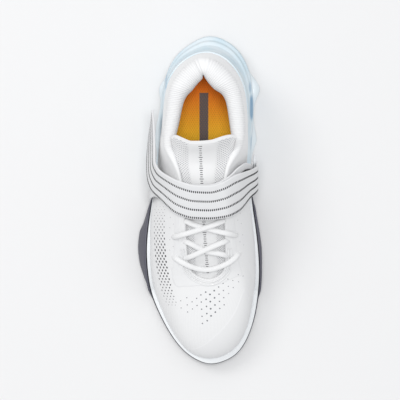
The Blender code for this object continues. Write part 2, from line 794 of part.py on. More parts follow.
def build_wedge(edge):
    """Wedge with steps in its side, drawn up into a thin clip round the counter."""
    row = rows_between(WEDGE_FRONT, 0, 28)
    ring = facing(row, edge)
    ring[[0, -1], 1] = WEDGE_FRONT
    y = outer_point(row, np.zeros(len(row)))[:, 1]
    bed = footbed(y)
    crest = np.maximum(level(CLIP_ROWS, y), bed + LIP)
    middle = (bed + crest) / 2
    low = ground(ring[:, 1]) + HEEL_RUBBER + GAP
    counter = cloth_ring(row, bed + LIP, GAP + CLIP_THICKNESS + 0.6)[:, :2]
    rings = [raised(inset(ring, 2.6), low)]
    steps = columns(WEDGE_STEP_COLUMNS, WEDGE_STEP_ROWS)
    for share, lean in zip(steps["share"], steps["lean"]):
        rings.append(raised(ring + (counter - ring) * lean, low + share * (bed - low)))
    rings += [
        cloth_ring(row, middle, GAP + CLIP_THICKNESS),
        cloth_ring(row, crest, GAP + 0.8 * CLIP_THICKNESS),
        cloth_ring(row, crest, GAP + 0.15),
        cloth_ring(row, middle, GAP + 0.15),
        cloth_ring(row, bed + LIP, GAP + 0.15),
    ]
    level_ends(rings[-6:], bed)
    seat = rings[-1].copy()
    seat[:, 2] = bed
    rings.append(seat)
    add_solid("heel_wedge", *capped_stack(rings), "wedge_blue")


def build_insole():
    row = np.linspace(0, ROWS, 48, endpoint=False)
    bed = footbed(outer_point(row, np.zeros(len(row)))[:, 1])
    rings = []
    for lift, reach in ((GAP, 1.4), (0.35 * INSOLE_THICKNESS, 0.6), (INSOLE_THICKNESS, 1.0)):
        height = bed + lift
        v = v_at_height(inner_point, row, height)
        outward = unit(outer_normal(row, v) * [1, 1, 0])
        ring = inner_point(row, v) - outward * reach
        ring[:, 2] = height
        rings.append(ring)
    add_solid("insole", *capped_stack(rings, full_loop=True), "orange_mesh")


def build_upper():
    row = np.linspace(0, ROWS, LOOP_STEPS, endpoint=False)
    ends = np.ones(len(row))
    outside, inside = outer_point(row, ends), inner_point(row, ends)
    middle, reach = (outside + inside) / 2, (outside - inside) / 2
    rise = unit(outside - outer_point(row, ends - 0.02))
    half = np.linalg.norm(reach, axis=1)[:, None]
    rings = [outer_point(row, ends * v) for v in np.linspace(0, 1, PROFILE_STEPS + 1)]
    for k in range(1, RIM_STEPS + 1):
        turn = math.pi * k / (RIM_STEPS + 1)
        rings.append(middle + reach * math.cos(turn) + rise * half * math.sin(turn))
    rings += [inner_point(row, ends * v) for v in np.linspace(1, 0, LINING_STEPS + 1)]
    add_solid("upper", *looped_grid(rings), "knit_white")


# Surfaces that rest on the upper

def overlay_patch(name, rows, from_top, across, slot):
    """A thin layer over the upper between its edge and a width of cloth."""
    table = columns(OVERLAY_COLUMNS, rows)
    row = np.linspace(table["row"][0], table["row"][-1], 3 * len(rows))
    width = along(table["row"], table["width"], row)
    grid = []
    for place, reach in zip(row, width):
        near = place_at_cloth(place, OVERLAY_MARGIN, from_top)
        far = place_at_cloth(place, reach, from_top)
        v = np.linspace(near, far, across)
        section = np.full(across, place)
        lift = outer_normal(section, v) * (OVERLAY_LIFT + OVERLAY / 2)
        grid.append(outer_point(section, v) + lift)
    add_solid(name, *thick_sheet(np.array(grid), OVERLAY / 2, OVERLAY / 2), slot)


def sampled_surface(surface):
    """Points over the front and sides of the shoe, for heights under tongue and lace."""
    row = np.linspace(THROAT_FIRST_ROW, THROAT_LAST_ROW, 521)
    v = np.linspace(0.35, 1, 90)
    return surface(row[:, None], v[None, :]).reshape(-1, 3)


def height_on(samples, x, y):
    """Height of a sampled surface over one place in plan."""
    away = np.hypot(samples[:, 0] - x, samples[:, 1] - y)
    near = samples[np.argsort(away)[:14]]
    plane = np.column_stack([near[:, 0] - x, near[:, 1] - y, np.ones(len(near))])
    return float(np.linalg.lstsq(plane, near[:, 2], rcond=None)[0][2])


def throat_edge(y, lateral, inner):
    """Edge of the throat at a station."""
    first, last = (THROAT_FIRST_ROW, TOE_ROW) if lateral else (TOE_ROW, THROAT_LAST_ROW)
    rows = np.linspace(first, last, 300)
    surface = inner_point if inner else outer_point
    line = surface(rows, np.ones(len(rows)))
    order = np.argsort(line[:, 1])
    return np.array([np.interp(y, line[order, 1], line[order, k]) for k in range(3)])


def across_throat(x, left, right):
    """Place between the throat's edges, from -1 to 1, and the height of their chord."""
    t = (2 * x - left[0] - right[0]) / (right[0] - left[0])
    return t, left[2] + (right[2] - left[2]) * (t + 1) / 2


def tongue_height(x, y):
    """Height of the tongue between the throat edges, or None outside them."""
    if y < THROAT_FRONT:
        return None
    t, chord = across_throat(x, throat_edge(y, True, True), throat_edge(y, False, True))
    if abs(t) > 1:
        return None
    crown = np.interp(y, [THROAT_FRONT, -50, 60], [1.0, TONGUE_CROWN, TONGUE_CROWN + 1.5])
    return chord - GAP - 0.9 + crown * (1 - t * t)


def build_tongue(lining):
    share = np.array(TONGUE_SHARES)
    grid = []
    for y in TONGUE_STATIONS:
        station = max(y, THROAT_FRONT)
        left, right = throat_edge(station, True, True), throat_edge(station, False, True)
        open_x = (left[0] + right[0]) / 2 + share * (right[0] - left[0]) / 2
        line = []
        for x in [left[0] - TONGUE_WING, *open_x, right[0] + TONGUE_WING]:
            z = tongue_height(x, y)
            if z is None:
                z = height_on(lining, x, y) - GAP - 0.5
            line.append((x, y, z))
        grid.append(line)
    top = columns(TONGUE_TOP_COLUMNS, TONGUE_TOP_ROWS)
    t = np.array([-1.06, *share, 1.06])
    for k, y in enumerate(top["y"]):
        left = np.array([top["left_x"][k], top["left_z"][k]])
        right = np.array([top["right_x"][k], top["right_z"][k]])
        chord = left + (right - left) * (t[:, None] + 1) / 2
        rise = top["mid_z"][k] - (left[1] + right[1]) / 2
        bow = 1 - t * t
        grid.append(np.column_stack([chord[:, 0], y - 1.5 * bow, chord[:, 1] + rise * bow]))
    add_solid("tongue", *thick_sheet(np.array(grid), 0.0, TONGUE_THICKNESS), "knit_white")


def along_rows(names, rows, count):
    """A table's columns at evenly spaced places along its rows."""
    place = np.linspace(0, len(rows) - 1, count)
    table = columns(names, rows)
    return {name: along(np.arange(len(rows)), table[name], place) for name in table}


def build_strap():
    edges = along_rows(STRAP_COLUMNS, STRAP_ROWS, 2 * len(STRAP_ROWS) - 1)
    rear = np.column_stack([edges["rear_x"], edges["rear_y"], edges["rear_z"]])
    front = np.column_stack([edges["front_x"], edges["front_y"], edges["front_z"]])
    grid = np.stack([rear, (rear + front) / 2, front], axis=1)
    half = STRAP_THICKNESS / 2
    add_solid("strap", *thick_sheet(grid, half, half), "webbing_white")


def build_ring_and_tab():
    """Wire ring in the fold of the strap, and the webbing that holds it."""
    rear, front = np.array(RING_BAR_REAR), np.array(RING_BAR_FRONT)
    axis = unit(rear - front)
    down = unit(np.cross([1.0, 0.0, 0.0], axis))
    down = down if down[2] < 0 else -down
    near = [rear + axis * 2.5, front - axis * 2.5]
    lower = [end + down * RING_DEPTH for end in near]
    corners = [near[0], near[1], lower[1], lower[0]]
    path = []
    for k in range(4):
        a, b, c = corners[k - 1], corners[k], corners[(k + 1) % 4]
        before, after = unit(a - b), unit(c - b)
        path += [b + before * 2.0, b + (before + after) * 0.6, b + after * 2.0]
    path = np.array(path)
    run = unit(np.roll(path, -1, axis=0) - np.roll(path, 1, axis=0))
    out = np.array([1.0, 0.0, 0.0])
    side = unit(np.cross(run, out))
    angle = np.arange(6)[:, None] * math.pi / 3
    rings = [
        middle + RING_WIRE * (np.cos(angle) * out + np.sin(angle) * beside)
        for middle, beside in zip(path, side)
    ]
    add_solid("strap_ring", *looped_grid(rings), "ring_white")
    half = axis * TAB_WIDTH / 2
    tab = columns(TAB_COLUMNS, TAB_ROWS)
    line = (lower[0] + lower[1]) / 2 + np.column_stack([tab["x"], tab["y"], tab["z"]])
    grid = np.stack([line + half, line, line - half], axis=1)
    add_solid("strap_tab", *thick_sheet(grid, TAB_THICKNESS / 2, TAB_THICKNESS / 2), "webbing_white")


def lace_line(rows, deck):
    """A lace laid over the shoe."""
    run = along_rows(LACE_COLUMNS, rows, LACE_STEPS)
    height = []
    for x, y in zip(run["x"], run["y"]):
        t, chord = across_throat(x, throat_edge(y, True, False), throat_edge(y, False, False))
        if abs(t) < 1:
            height.append(chord - LACE_SAG * (1 - t * t))
        else:
            height.append(height_on(deck, x, y))
    return np.column_stack([run["x"], run["y"], np.array(height) + LACE_STAND + run["lift"]])


def build_laces(deck):
    for name, runs in LACE_RUNS.items():
        laces = []
        for k, rows in enumerate(runs):
            line = tube(lace_line(rows, deck), LACE_RADIUS, LACE_SIDES)
            laces.append(add_solid(f"{name}_{k}" if k else name, *line, "lace_white"))
        for under in laces[1:]:
            combine(laces[0], under, "UNION")


def main():
    clear_scene()
    edge = sole_edge(SOLE_ROWS)
    build_forefoot_rubber(edge)
    build_heel_rubber()
    build_midsole(edge)
    build_wedge(edge)
    build_insole()
    build_upper()
    overlay_patch("eyestay", EYESTAY_ROWS, True, 4, "overlay_white")
    overlay_patch("toe_cap", TOE_CAP_ROWS, False, 9, "overlay_white")
    build_tongue(sampled_surface(inner_point))
    build_strap()
    build_ring_and_tab()
    build_laces(sampled_surface(outer_point))


main()
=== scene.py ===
"""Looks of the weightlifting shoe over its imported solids.

The surfaces come from the same tables and functions as the solids, at a finer step.
Tables are in millimetres, and objects are made in metres.
"""

import math

import bpy
import numpy as np
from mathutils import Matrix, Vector
from mathutils.bvhtree import BVHTree


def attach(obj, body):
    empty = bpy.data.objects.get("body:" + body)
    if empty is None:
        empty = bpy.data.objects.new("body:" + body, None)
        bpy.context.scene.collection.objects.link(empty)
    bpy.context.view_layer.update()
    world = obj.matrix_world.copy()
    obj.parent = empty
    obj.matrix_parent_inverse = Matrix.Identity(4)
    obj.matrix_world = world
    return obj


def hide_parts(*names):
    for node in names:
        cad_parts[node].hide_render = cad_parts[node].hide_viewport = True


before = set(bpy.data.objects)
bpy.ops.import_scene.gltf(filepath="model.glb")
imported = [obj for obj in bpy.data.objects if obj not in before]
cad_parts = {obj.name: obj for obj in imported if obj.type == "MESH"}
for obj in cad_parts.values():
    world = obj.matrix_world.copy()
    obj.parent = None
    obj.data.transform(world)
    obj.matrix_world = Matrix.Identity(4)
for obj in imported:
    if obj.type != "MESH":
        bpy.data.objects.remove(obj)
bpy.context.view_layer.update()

MM = 0.001
UP = np.array([0.0, 0.0, 1.0])

# Sizes that drive the shoe
GAP = 0.3  # clear space between neighbouring pieces
HEEL_END, TOE_END = 149.0, -148.5
HEEL_CENTRE_X, TOE_CENTRE_X = 9.0, 9.5
RUBBER = 3.0  # tread under the forefoot
HEEL_RUBBER = 4.0
WEDGE_FRONT = 20.0  # where the wedge meets the foam midsole
HEEL_RUBBER_FRONT = 28.0
GROOVE_WIDTH, GROOVE_DEPTH = 2.6, 1.2  # in the underside of the tread
VAMP_WALL = 2.0
INSOLE_THICKNESS = 4.0
OVERLAY_MARGIN = 2.5  # cloth left showing beside the throat or the sole
STRAP_THICKNESS = 1.5
LACE_STAND = 4.4  # middle of a lace over the cloth, clear of the eyestay's slope
LACE_SAG = 1.8
LIP = 1.6  # how far the foam rises round the upper
TREAD_REAR = 6.0
CLIP_THICKNESS = 1.6
TONGUE_THICKNESS = 4.0
TONGUE_CROWN = 3.0
TONGUE_WING = 5.0  # how far it lies under each side of the throat
THROAT_FRONT = -62.0  # where the front of the throat starts to close
TAB_THICKNESS, TAB_WIDTH = 1.2, 22.0
EDGE_STEPS = 1200
LACE_STEPS = 40

# Heights along the shoe: top of the sole under the insole, the underside, and the
# top of the clip round the counter
HEIGHT_COLUMNS = "y z"
FOOTBED_ROWS = (
    (150, 33.0), (110, 33.0), (70, 31.0), (40, 27.0), (10, 21.0), (-20, 15.5),
    (-50, 12.5), (-80, 12.5), (-110, 14.5), (-150, 19.0),
)
GROUND_ROWS = (
    (150, 0.0), (28, 0.0), (12, 2.6), (2, 2.4), (-10, 0.0), (-88, 0.0), (-105, 1.0),
    (-125, 3.4), (-150, 7.5),
)
CLIP_ROWS = (
    (150, 60.0), (120, 59.0), (98, 55.0), (78, 47.0), (60, 39.0), (45, 33.5),
    (18, 25.5),
)

# Edge of the sole at its widest level, one row for each station
SOLE_COLUMNS = "y lateral medial"
SOLE_ROWS = (
    (143, -7.2, 26.5),
    (131.5, -21.1, 38.0),
    (114, -30.4, 45.6),
    (90, -35.3, 48.4),
    (65, -37.6, 48.0),
    (45, -38.2, 46.6),
    (20, -40.0, 46.0),
    (0, -43.4, 47.2),
    (-25, -47.0, 50.6),
    (-45, -48.4, 52.8),
    (-65, -47.4, 53.8),
    (-85, -43.8, 52.8),
    (-106, -35.2, 49.4),
    (-124, -25.0, 43.4),
    (-137.5, -13.6, 34.9),
    (-145.3, -2.0, 23.5),
)

# Grooves across the underside of the tread and of the heel plate
FOREFOOT_GROOVE_ROWS = (
    (-20, -36.0, 40.0),
    (-34, -38.0, 42.0),
    (-66, -38.0, 43.0),
    (-80, -35.0, 42.0),
)
HEEL_GROOVE_ROWS = (
    (118, -16.0, 32.0),
    (104, -24.0, 38.0),
    (64, -29.0, 39.0),
    (50, -30.0, 38.0),
)

# Heel plate with its flared corners
HEEL_PLATE_ROWS = (
    (141, -6.5, 26.0),
    (130, -20.0, 37.5),
    (116, -28.5, 46.0),
    (109, -33.5, 51.0),
    (101, -37.4, 54.6),
    (92, -36.4, 51.6),
    (78, -37.8, 48.9),
    (66, -40.2, 50.0),
    (54, -41.0, 51.6),
    (38, -38.5, 47.0),
)

# Rubber wraps at the ball: how far they stand out of the sole edge, and their top
WRAP_COLUMNS = "y lateral_out medial_out top"
WRAP_ROWS = (
    (12, 0.6, 0.6, 4.6),
    (-2, 1.5, 1.2, 12.0),
    (-10, 3.0, 2.2, 20.0),
    (-20, 4.6, 2.8, 25.0),
    (-31, 7.6, 3.2, 27.0),
    (-42, 8.0, 3.5, 28.0),
    (-55, 7.0, 3.0, 26.5),
    (-68, 4.4, 2.0, 23.0),
    (-80, 1.8, 1.2, 17.0),
    (-92, 0.5, 0.5, 5.0),
    (-150, 0.2, 0.2, 8.4),
)

# Side of the wedge: height as a share of the wedge, lean from edge to counter
WEDGE_STEP_COLUMNS = "share lean"
WEDGE_STEP_ROWS = (
    (0.22, 0.0), (0.44, 0.08), (0.50, 0.26), (0.78, 0.38), (0.84, 0.58), (1.05, 0.76),
)

# The upper, one row for each section round the loop. foot is where it meets the
# sole and top is the outer edge of the collar or throat. The two handles bow the
# section out and up from the foot, and out and down from the top.
UPPER_COLUMNS = (
    "foot_x foot_y low_out low_up high_out high_down top_x top_y top_z wall"
)
UPPER_ROWS = {
    "heel_back": (8.0, 130.5, 3.5, 22, 5.0, 22, 4.5, 126.0, 95.0, 11.0),
    "heel_lateral": (-12.0, 124.0, 3.5, 22, 5.0, 22, -11.5, 119.5, 94.0, 16.0),
    "counter_lateral": (-25.5, 107.0, 3.5, 21, 4.5, 22, -24.5, 104.0, 91.0, 15.5),
    "ankle_lateral": (-30.5, 84.0, 3.0, 20, 3.5, 20, -29.5, 84.0, 88.0, 14.0),
    "collar_lateral": (-33.0, 62.0, 3.0, 22, 3.0, 20, -32.0, 62.0, 89.5, 12.0),
    "corner_lateral": (-36.0, 43.0, 3.0, 24, 5.0, 22, -31.0, 45.0, 98.0, 8.0),
    "instep_lateral": (-38.5, 24.0, 3.0, 26, 9.0, 16, -22.5, 29.0, 102.0, 4.0),
    "lace_lateral": (-42.0, 0.0, 3.0, 24, 13.0, 8, -16.0, 3.0, 93.0, 3.0),
    "ball_lateral": (-45.6, -32.0, 3.0, 21, 14.0, 6, -14.3, -28.0, 78.0, 3.0),
    "joint_lateral": (-44.5, -66.0, 3.0, 20, 17.0, 5, -12.6, -52.0, 66.0, 3.0),
    "vamp_lateral": (-33.8, -100.0, 3.0, 20, 20.0, 6, -10.5, -62.0, 60.8, 3.0),
    "toe_lateral": (-14.0, -133.0, 2.5, 21, 32.0, 8, -3.7, -68.7, 57.5, 3.0),
    "toe_tip": (8.0, -143.3, 2.0, 22, 38.0, 9, 6.5, -72.3, 56.5, 3.0),
    "toe_medial": (32.5, -132.5, 2.5, 22, 33.0, 8, 16.5, -69.5, 57.5, 3.0),
    "vamp_medial": (45.5, -99.0, 3.0, 22, 24.0, 7, 23.0, -62.0, 60.8, 3.0),
    "joint_medial": (50.0, -63.0, 3.0, 21, 18.0, 6, 24.2, -51.0, 66.0, 3.0),
    "ball_medial": (48.4, -31.0, 3.0, 23, 15.0, 7, 23.8, -28.0, 78.0, 3.0),
    "lace_medial": (43.8, 0.0, 3.0, 26, 12.0, 10, 22.6, 3.0, 93.0, 3.0),
    "instep_medial": (41.6, 25.0, 3.0, 27, 9.0, 18, 26.5, 29.0, 103.0, 4.0),
    "corner_medial": (41.6, 44.0, 3.0, 25, 6.0, 22, 36.0, 44.0, 100.0, 8.0),
    "collar_medial": (40.6, 62.0, 3.5, 22, 3.5, 20, 39.8, 62.0, 92.0, 13.0),
    "ankle_medial": (39.8, 84.0, 3.5, 20, 4.0, 20, 38.3, 84.0, 91.0, 14.5),
    "counter_medial": (35.5, 106.0, 3.5, 21, 4.5, 22, 33.0, 103.5, 93.0, 15.5),
    "heel_medial": (24.5, 123.5, 3.5, 22, 5.0, 22, 20.5, 118.5, 95.0, 16.0),
}
TOE_ROW = list(UPPER_ROWS).index("toe_tip")
THROAT_FIRST_ROW, THROAT_LAST_ROW = 5.6, 18.4  # rows whose top is the throat's edge

# Overlays, as a width of cloth covered from the throat edge or from the sole.
# A row is counted in sections of the upper, from heel_back.
OVERLAY_COLUMNS = "row width"
EYESTAY_ROWS = (
    (6.2, 5.0), (6.6, 9.0), (7.2, 11.0), (8.0, 12.0), (9.0, 15.0), (9.7, 20.0),
    (10.3, 21.0), (11.0, 13.0), (11.7, 7.0), (12.4, 6.5), (13.2, 9.0), (13.8, 14.0),
    (14.3, 19.0), (14.7, 15.0), (15.2, 11.5), (16.0, 11.5), (16.8, 10.5), (17.3, 8.0),
    (17.7, 5.0),
)
TOE_CAP_ROWS = (
    (10.9, 5.0), (11.3, 14.0), (11.8, 25.0), (12.3, 38.0), (12.8, 48.0), (13.3, 54.0),
    (13.7, 50.0), (14.0, 30.0), (14.2, 8.0),
)

# Tongue: stations under the throat, places across it as a share of half its width,
# and its two last rows above the throat
TONGUE_STATIONS = (-82.0, -74.0, -66.0, -58.0, -48.0, -36.0, -22.0, -8.0, 6.0, 20.0, 32.0)
TONGUE_SHARES = (-0.98, -0.66, -0.33, 0.0, 0.33, 0.66, 0.98)
TONGUE_TOP_COLUMNS = "y left_x left_z mid_z right_x right_z"
TONGUE_TOP_ROWS = (
    (44.0, -19.0, 104.0, 110.5, 23.5, 105.0),
    (54.5, -20.0, 111.5, 119.5, 26.0, 112.5),
)

# Strap: rear and front edge at each fold, from the loose end over the instep,
# round the ring and back under itself to the outer side
STRAP_COLUMNS = "rear_x rear_y rear_z front_x front_y front_z"
STRAP_ROWS = (
    (-42.5, 81.0, 54.0, -43.8, 74.0, 21.0),
    (-41.0, 66.0, 64.0, -46.5, 50.0, 35.0),
    (-40.4, 50.0, 74.0, -47.6, 34.0, 46.0),
    (-40.2, 36.0, 83.0, -47.0, 21.0, 55.0),
    (-37.0, 28.0, 92.0, -43.6, 9.5, 66.0),
    (-28.5, 21.5, 102.5, -34.5, 0.0, 80.0),
    (-16.0, 16.0, 108.0, -20.5, -12.5, 90.5),
    (-4.0, 13.0, 110.0, -6.0, -17.0, 93.5),
    (8.0, 12.5, 110.0, 8.0, -17.5, 93.5),
    (19.0, 15.5, 109.8, 22.5, -16.0, 94.0),
    (32.0, 22.5, 103.8, 34.0, -11.0, 85.5),
    (43.0, 26.0, 89.0, 45.0, 2.0, 66.0),
    (48.5, 28.5, 77.0, 49.6, 6.0, 52.0),
    (50.9, 30.8, 69.5, 51.3, 8.8, 44.5),
    (50.6, 34.2, 66.4, 51.0, 12.2, 41.4),
    (48.6, 34.9, 65.8, 49.0, 12.9, 40.8),
    (46.6, 34.2, 66.4, 47.0, 12.2, 41.4),
    (46.3, 30.8, 69.5, 46.7, 8.8, 44.5),
    (44.6, 32.0, 76.0, 45.6, 5.0, 53.0),
    (40.5, 33.0, 85.0, 41.6, 0.0, 66.0),
    (34.0, 29.0, 96.5, 33.6, -6.0, 80.5),
    (24.0, 20.0, 104.2, 23.5, -11.0, 90.6),
    (8.0, 13.5, 107.0, 8.0, -14.5, 91.8),
    (-6.0, 13.5, 106.3, -7.0, -14.5, 90.4),
    (-17.0, 16.0, 103.0, -21.0, -10.0, 86.0),
    (-27.5, 20.5, 95.5, -33.0, 1.0, 76.0),
    (-35.5, 22.0, 80.0, -40.6, 3.0, 62.0),
    (-40.8, 21.0, 60.0, -44.6, 1.0, 46.0),
    (-42.6, 20.0, 27.0, -46.0, -2.0, 25.0),
)

# Bar of the ring inside the strap's fold, and the tab's line from the middle of
# the ring's lower bar down into the side of the shoe
RING_BAR_REAR, RING_BAR_FRONT = (48.6, 33.0, 67.5), (49.0, 11.0, 42.5)
TAB_COLUMNS = "x y z"
TAB_ROWS = (
    (-1.9, -3.0, 3.4),
    (-2.2, 0.5, -0.5),
    (-1.6, 3.0, -5.0),
    (-1.4, 5.0, -12.0),
)


def columns(names, rows):
    """A table's columns by name."""
    return dict(zip(names.split(), np.array(list(rows), float).T))


def unit(vectors):
    length = np.linalg.norm(vectors, axis=-1, keepdims=True)
    return vectors / np.maximum(length, 1e-9)


def cubic(t, step, start, end, slope_start, slope_end):
    """Cubic between two values with a slope at each, t going from 0 to 1."""
    return (
        start * (1 + 2 * t) * (1 - t) ** 2
        + end * t * t * (3 - 2 * t)
        + step * (slope_start * t * (1 - t) ** 2 - slope_end * t * t * (1 - t))
    )


def along(keys, values, wanted):
    """Smooth values at the wanted keys, with no overshoot between the rows."""
    keys, values = np.asarray(keys, float), np.asarray(values, float)
    if keys[0] > keys[-1]:
        keys, values = keys[::-1], values[::-1]
    step = np.diff(keys)
    slope = np.diff(values) / step
    product = slope[:-1] * slope[1:]
    total = np.where(product > 0, slope[:-1] + slope[1:], 1.0)
    inner = np.where(product > 0, 2 * product / total, 0.0)
    tangent = np.concatenate([[slope[0]], inner, [slope[-1]]])
    wanted = np.clip(wanted, keys[0], keys[-1])
    i = np.clip(np.searchsorted(keys, wanted) - 1, 0, len(step) - 1)
    t = (wanted - keys[i]) / step[i]
    return cubic(t, step[i], values[i], values[i + 1], tangent[i], tangent[i + 1])


def looped_spline(knots, values, wanted):
    """Periodic cubic spline through the rows. knots has one more entry than values."""
    count = len(values)
    step = np.diff(knots)
    slope = (np.roll(values, -1, axis=0) - values) / step[:, None]
    system = np.zeros((count, count))
    right = np.zeros_like(values)
    for i in range(count):
        before, after = step[i - 1], step[i]
        system[i, i - 1] += after
        system[i, i] += 2 * (before + after)
        system[i, (i + 1) % count] += before
        right[i] = 3 * (after * slope[i - 1] + before * slope[i])
    tangent = np.linalg.solve(system, right)
    wanted = np.mod(wanted, knots[-1])
    i = np.clip(np.searchsorted(knots, wanted, side="right") - 1, 0, count - 1)
    j = (i + 1) % count
    t = ((wanted - knots[i]) / step[i])[:, None]
    return cubic(t, step[i][:, None], values[i], values[j], tangent[i], tangent[j])


def travelled(points, axis=0):
    """Length along a line of points, or down or across a grid, from its start."""
    step = np.linalg.norm(np.diff(points, axis=axis), axis=-1)
    return np.insert(np.cumsum(step, axis=axis), 0, 0.0, axis=axis)


def read_at(wanted, length, points):
    """Points of a line at the wanted lengths along it."""
    return np.stack([np.interp(wanted, length, axis) for axis in points.T], axis=1)


def resampled(points, count):
    """The same line with count points at equal spacing."""
    length = travelled(points)
    return read_at(np.linspace(0, length[-1], count), length, points)


def loop_knots(points):
    """Spline parameters round a closed line of points, by the root of each step."""
    step = np.sqrt(np.linalg.norm(np.roll(points, -1, axis=0) - points, axis=1))
    return np.concatenate([[0], np.cumsum(step)])


def table_at(names, rows, wanted):
    """A table's columns read at wanted values of its first one."""
    table = columns(names, rows)
    keys = next(iter(table.values()))
    return {name: along(keys, values, wanted) for name, values in table.items()}


def level(rows, y):
    """Height from a table of heights along the shoe."""
    return table_at(HEIGHT_COLUMNS, rows, y)["z"]


def footbed(y):
    return level(FOOTBED_ROWS, y)


def ground(y):
    return level(GROUND_ROWS, y)


# The upper's surface

UPPER = columns(UPPER_COLUMNS, UPPER_ROWS.values())
SECTION = np.stack(list(UPPER.values()), axis=1)
ROWS = len(SECTION)
KNOTS = loop_knots(SECTION[:, :2])
ROW_STEP = np.diff(KNOTS)


def knot_of(row):
    """Spline parameter of a place counted in rows."""
    whole = np.floor(row).astype(int)
    turn, inside = np.divmod(whole, ROWS)
    return KNOTS[inside] + (row - whole) * ROW_STEP[inside] + turn * KNOTS[-1]


def upper_frame(row):
    """Section values and the outward direction of the foot line at each row."""
    u = knot_of(np.asarray(row, float))
    values = looped_spline(KNOTS, SECTION, u)
    step = KNOTS[-1] * 1e-4
    ahead = looped_spline(KNOTS, SECTION[:, :2], u + step)
    behind = looped_spline(KNOTS, SECTION[:, :2], u - step)
    run = unit(ahead - behind)
    return values, np.stack([run[:, 1], -run[:, 0], np.zeros(len(run))], axis=1)


def outer_point(row, v):
    """Points on the outer surface, v running from the sole to the top edge."""
    row, v = np.broadcast_arrays(np.asarray(row, float), np.asarray(v, float))
    shape = row.shape
    values, outward = upper_frame(row.ravel())
    t = v.ravel()[:, None]
    foot = np.column_stack([values[:, 0], values[:, 1], footbed(values[:, 1]) + GAP])
    low = foot + outward * values[:, 2:3] + UP * values[:, 3:4]
    top = values[:, 6:9]
    high = top + outward * values[:, 4:5] - UP * values[:, 5:6]
    points = (
        foot * (1 - t) ** 3
        + low * 3 * t * (1 - t) ** 2
        + high * 3 * t * t * (1 - t)
        + top * t**3
    )
    return points.reshape(*shape, 3)


def outer_normal(row, v):
    """Outward normal of the outer surface."""
    row, v = np.broadcast_arrays(np.asarray(row, float), np.asarray(v, float))
    small = 1e-3
    v = np.clip(v, small, 1 - small)
    across = outer_point(row + small, v) - outer_point(row - small, v)
    rise = outer_point(row, v + small) - outer_point(row, v - small)
    return unit(np.cross(across, rise))


def wall(row, v):
    """Wall thickness: cloth at the sole, padding at the collar."""
    row, v = np.broadcast_arrays(np.asarray(row, float), np.asarray(v, float))
    values, _ = upper_frame(row.ravel())
    t = np.clip((v - 0.3) / 0.6, 0, 1)
    swell = (t * t * (3 - 2 * t)).ravel()
    return (VAMP_WALL + (values[:, 9] - VAMP_WALL) * swell).reshape(row.shape)


def inner_point(row, v):
    return outer_point(row, v) - outer_normal(row, v) * wall(row, v)[..., None]


def v_at_height(surface, row, height):
    """Where each section first reaches a height."""
    v = np.linspace(0, 0.8, 81)
    lines = np.maximum.accumulate(surface(row[:, None], v)[..., 2], axis=1)
    return np.array([np.interp(z, line, v) for line, z in zip(lines, height)])


def v_at_cloth(row, width, from_top, samples):
    """v at widths of cloth measured from the top edge or from the foot."""
    v = np.linspace(0, 1, samples)
    length = travelled(outer_point(row, v))
    return np.interp(length[-1] - width if from_top else width, length, v)


# Outlines of the sole

def sole_edge(rows):
    """Closed outline from the heel round the lateral side to the toe and back."""
    table = columns(SOLE_COLUMNS, rows)
    lateral = np.column_stack([table["lateral"], table["y"]])
    medial = np.column_stack([table["medial"], table["y"]])[::-1]
    heel, toe = [[HEEL_CENTRE_X, HEEL_END]], [[TOE_CENTRE_X, TOE_END]]
    line = np.concatenate([heel, lateral, toe, medial])
    knots = loop_knots(line)
    return looped_spline(knots, line, np.linspace(0, knots[-1], EDGE_STEPS, endpoint=False))


def ring_between(outline, y_heel, y_toe, count):
    """The part of an outline between two stations, ending at its cut."""
    toe = int(np.argmin(outline[:, 1]))
    lateral = outline[: toe + 1]
    medial = np.concatenate([outline[toe:], outline[:1]])[::-1]
    halves = []
    for line in (lateral, medial):
        keep = (line[:, 1] <= y_heel) & (line[:, 1] >= y_toe)
        halves.append(resampled(line[keep], count))
    if y_heel < HEEL_END:
        return np.concatenate([halves[0], halves[1][-2::-1]])
    return np.concatenate([halves[0][::-1], halves[1][1:]])


def inset(ring, distance):
    """A ring moved inwards by a distance."""
    x, y = ring.T
    turn = np.sign(np.sum(x * np.roll(y, -1) - y * np.roll(x, -1)))
    run = unit(np.gradient(ring, axis=0))
    inward = np.column_stack([-run[:, 1], run[:, 0]]) * turn
    return ring + inward * np.broadcast_to(distance, len(ring))[:, None]


def raised(ring, height):
    return np.column_stack([ring, np.broadcast_to(height, len(ring))])


def level_ends(rings, height):
    """Brings the two cut ends of the upper rings down to the seat."""
    for ring in rings:
        ring[[0, -1], 2] = height[[0, -1]]
    return rings


def row_at_station(y, lateral):
    """Row of the upper whose foot stands at a station, on one side."""
    first, last = (1, TOE_ROW) if lateral else (TOE_ROW, ROWS - 1)
    rows = np.linspace(first, last, 400)
    stand = outer_point(rows, 0)[:, 1]
    order = np.argsort(stand)
    return float(np.interp(y, stand[order], rows[order]))


def rows_between(y, through, count):
    """Rows from a lateral station round the toe or the heel to the medial one."""
    first, last = row_at_station(y, True), row_at_station(y, False)
    if through == 0:
        last -= ROWS
    there, back = np.linspace(first, through, count), np.linspace(through, last, count)
    short = 0.03 * np.sign(last - first)
    return np.concatenate([[first, first + short], there[1:], back[1:-1], [last - short, last]])


def facing(row, outline):
    """The point of a sole outline straight out from each row of the foot line."""
    values, outward = upper_frame(row)
    found = []
    for foot, out in zip(values[:, :2], outward[:, :2]):
        away = outline - foot
        ahead = away @ out
        beside = away[:, 0] * out[1] - away[:, 1] * out[0]
        crossing = np.flatnonzero((beside * np.roll(beside, -1) <= 0) & (ahead > 0))
        k = crossing[np.argmin(ahead[crossing])]
        m = (k + 1) % len(outline)
        t = beside[k] / (beside[k] - beside[m])
        found.append(outline[k] + (outline[m] - outline[k]) * t)
    return np.array(found)


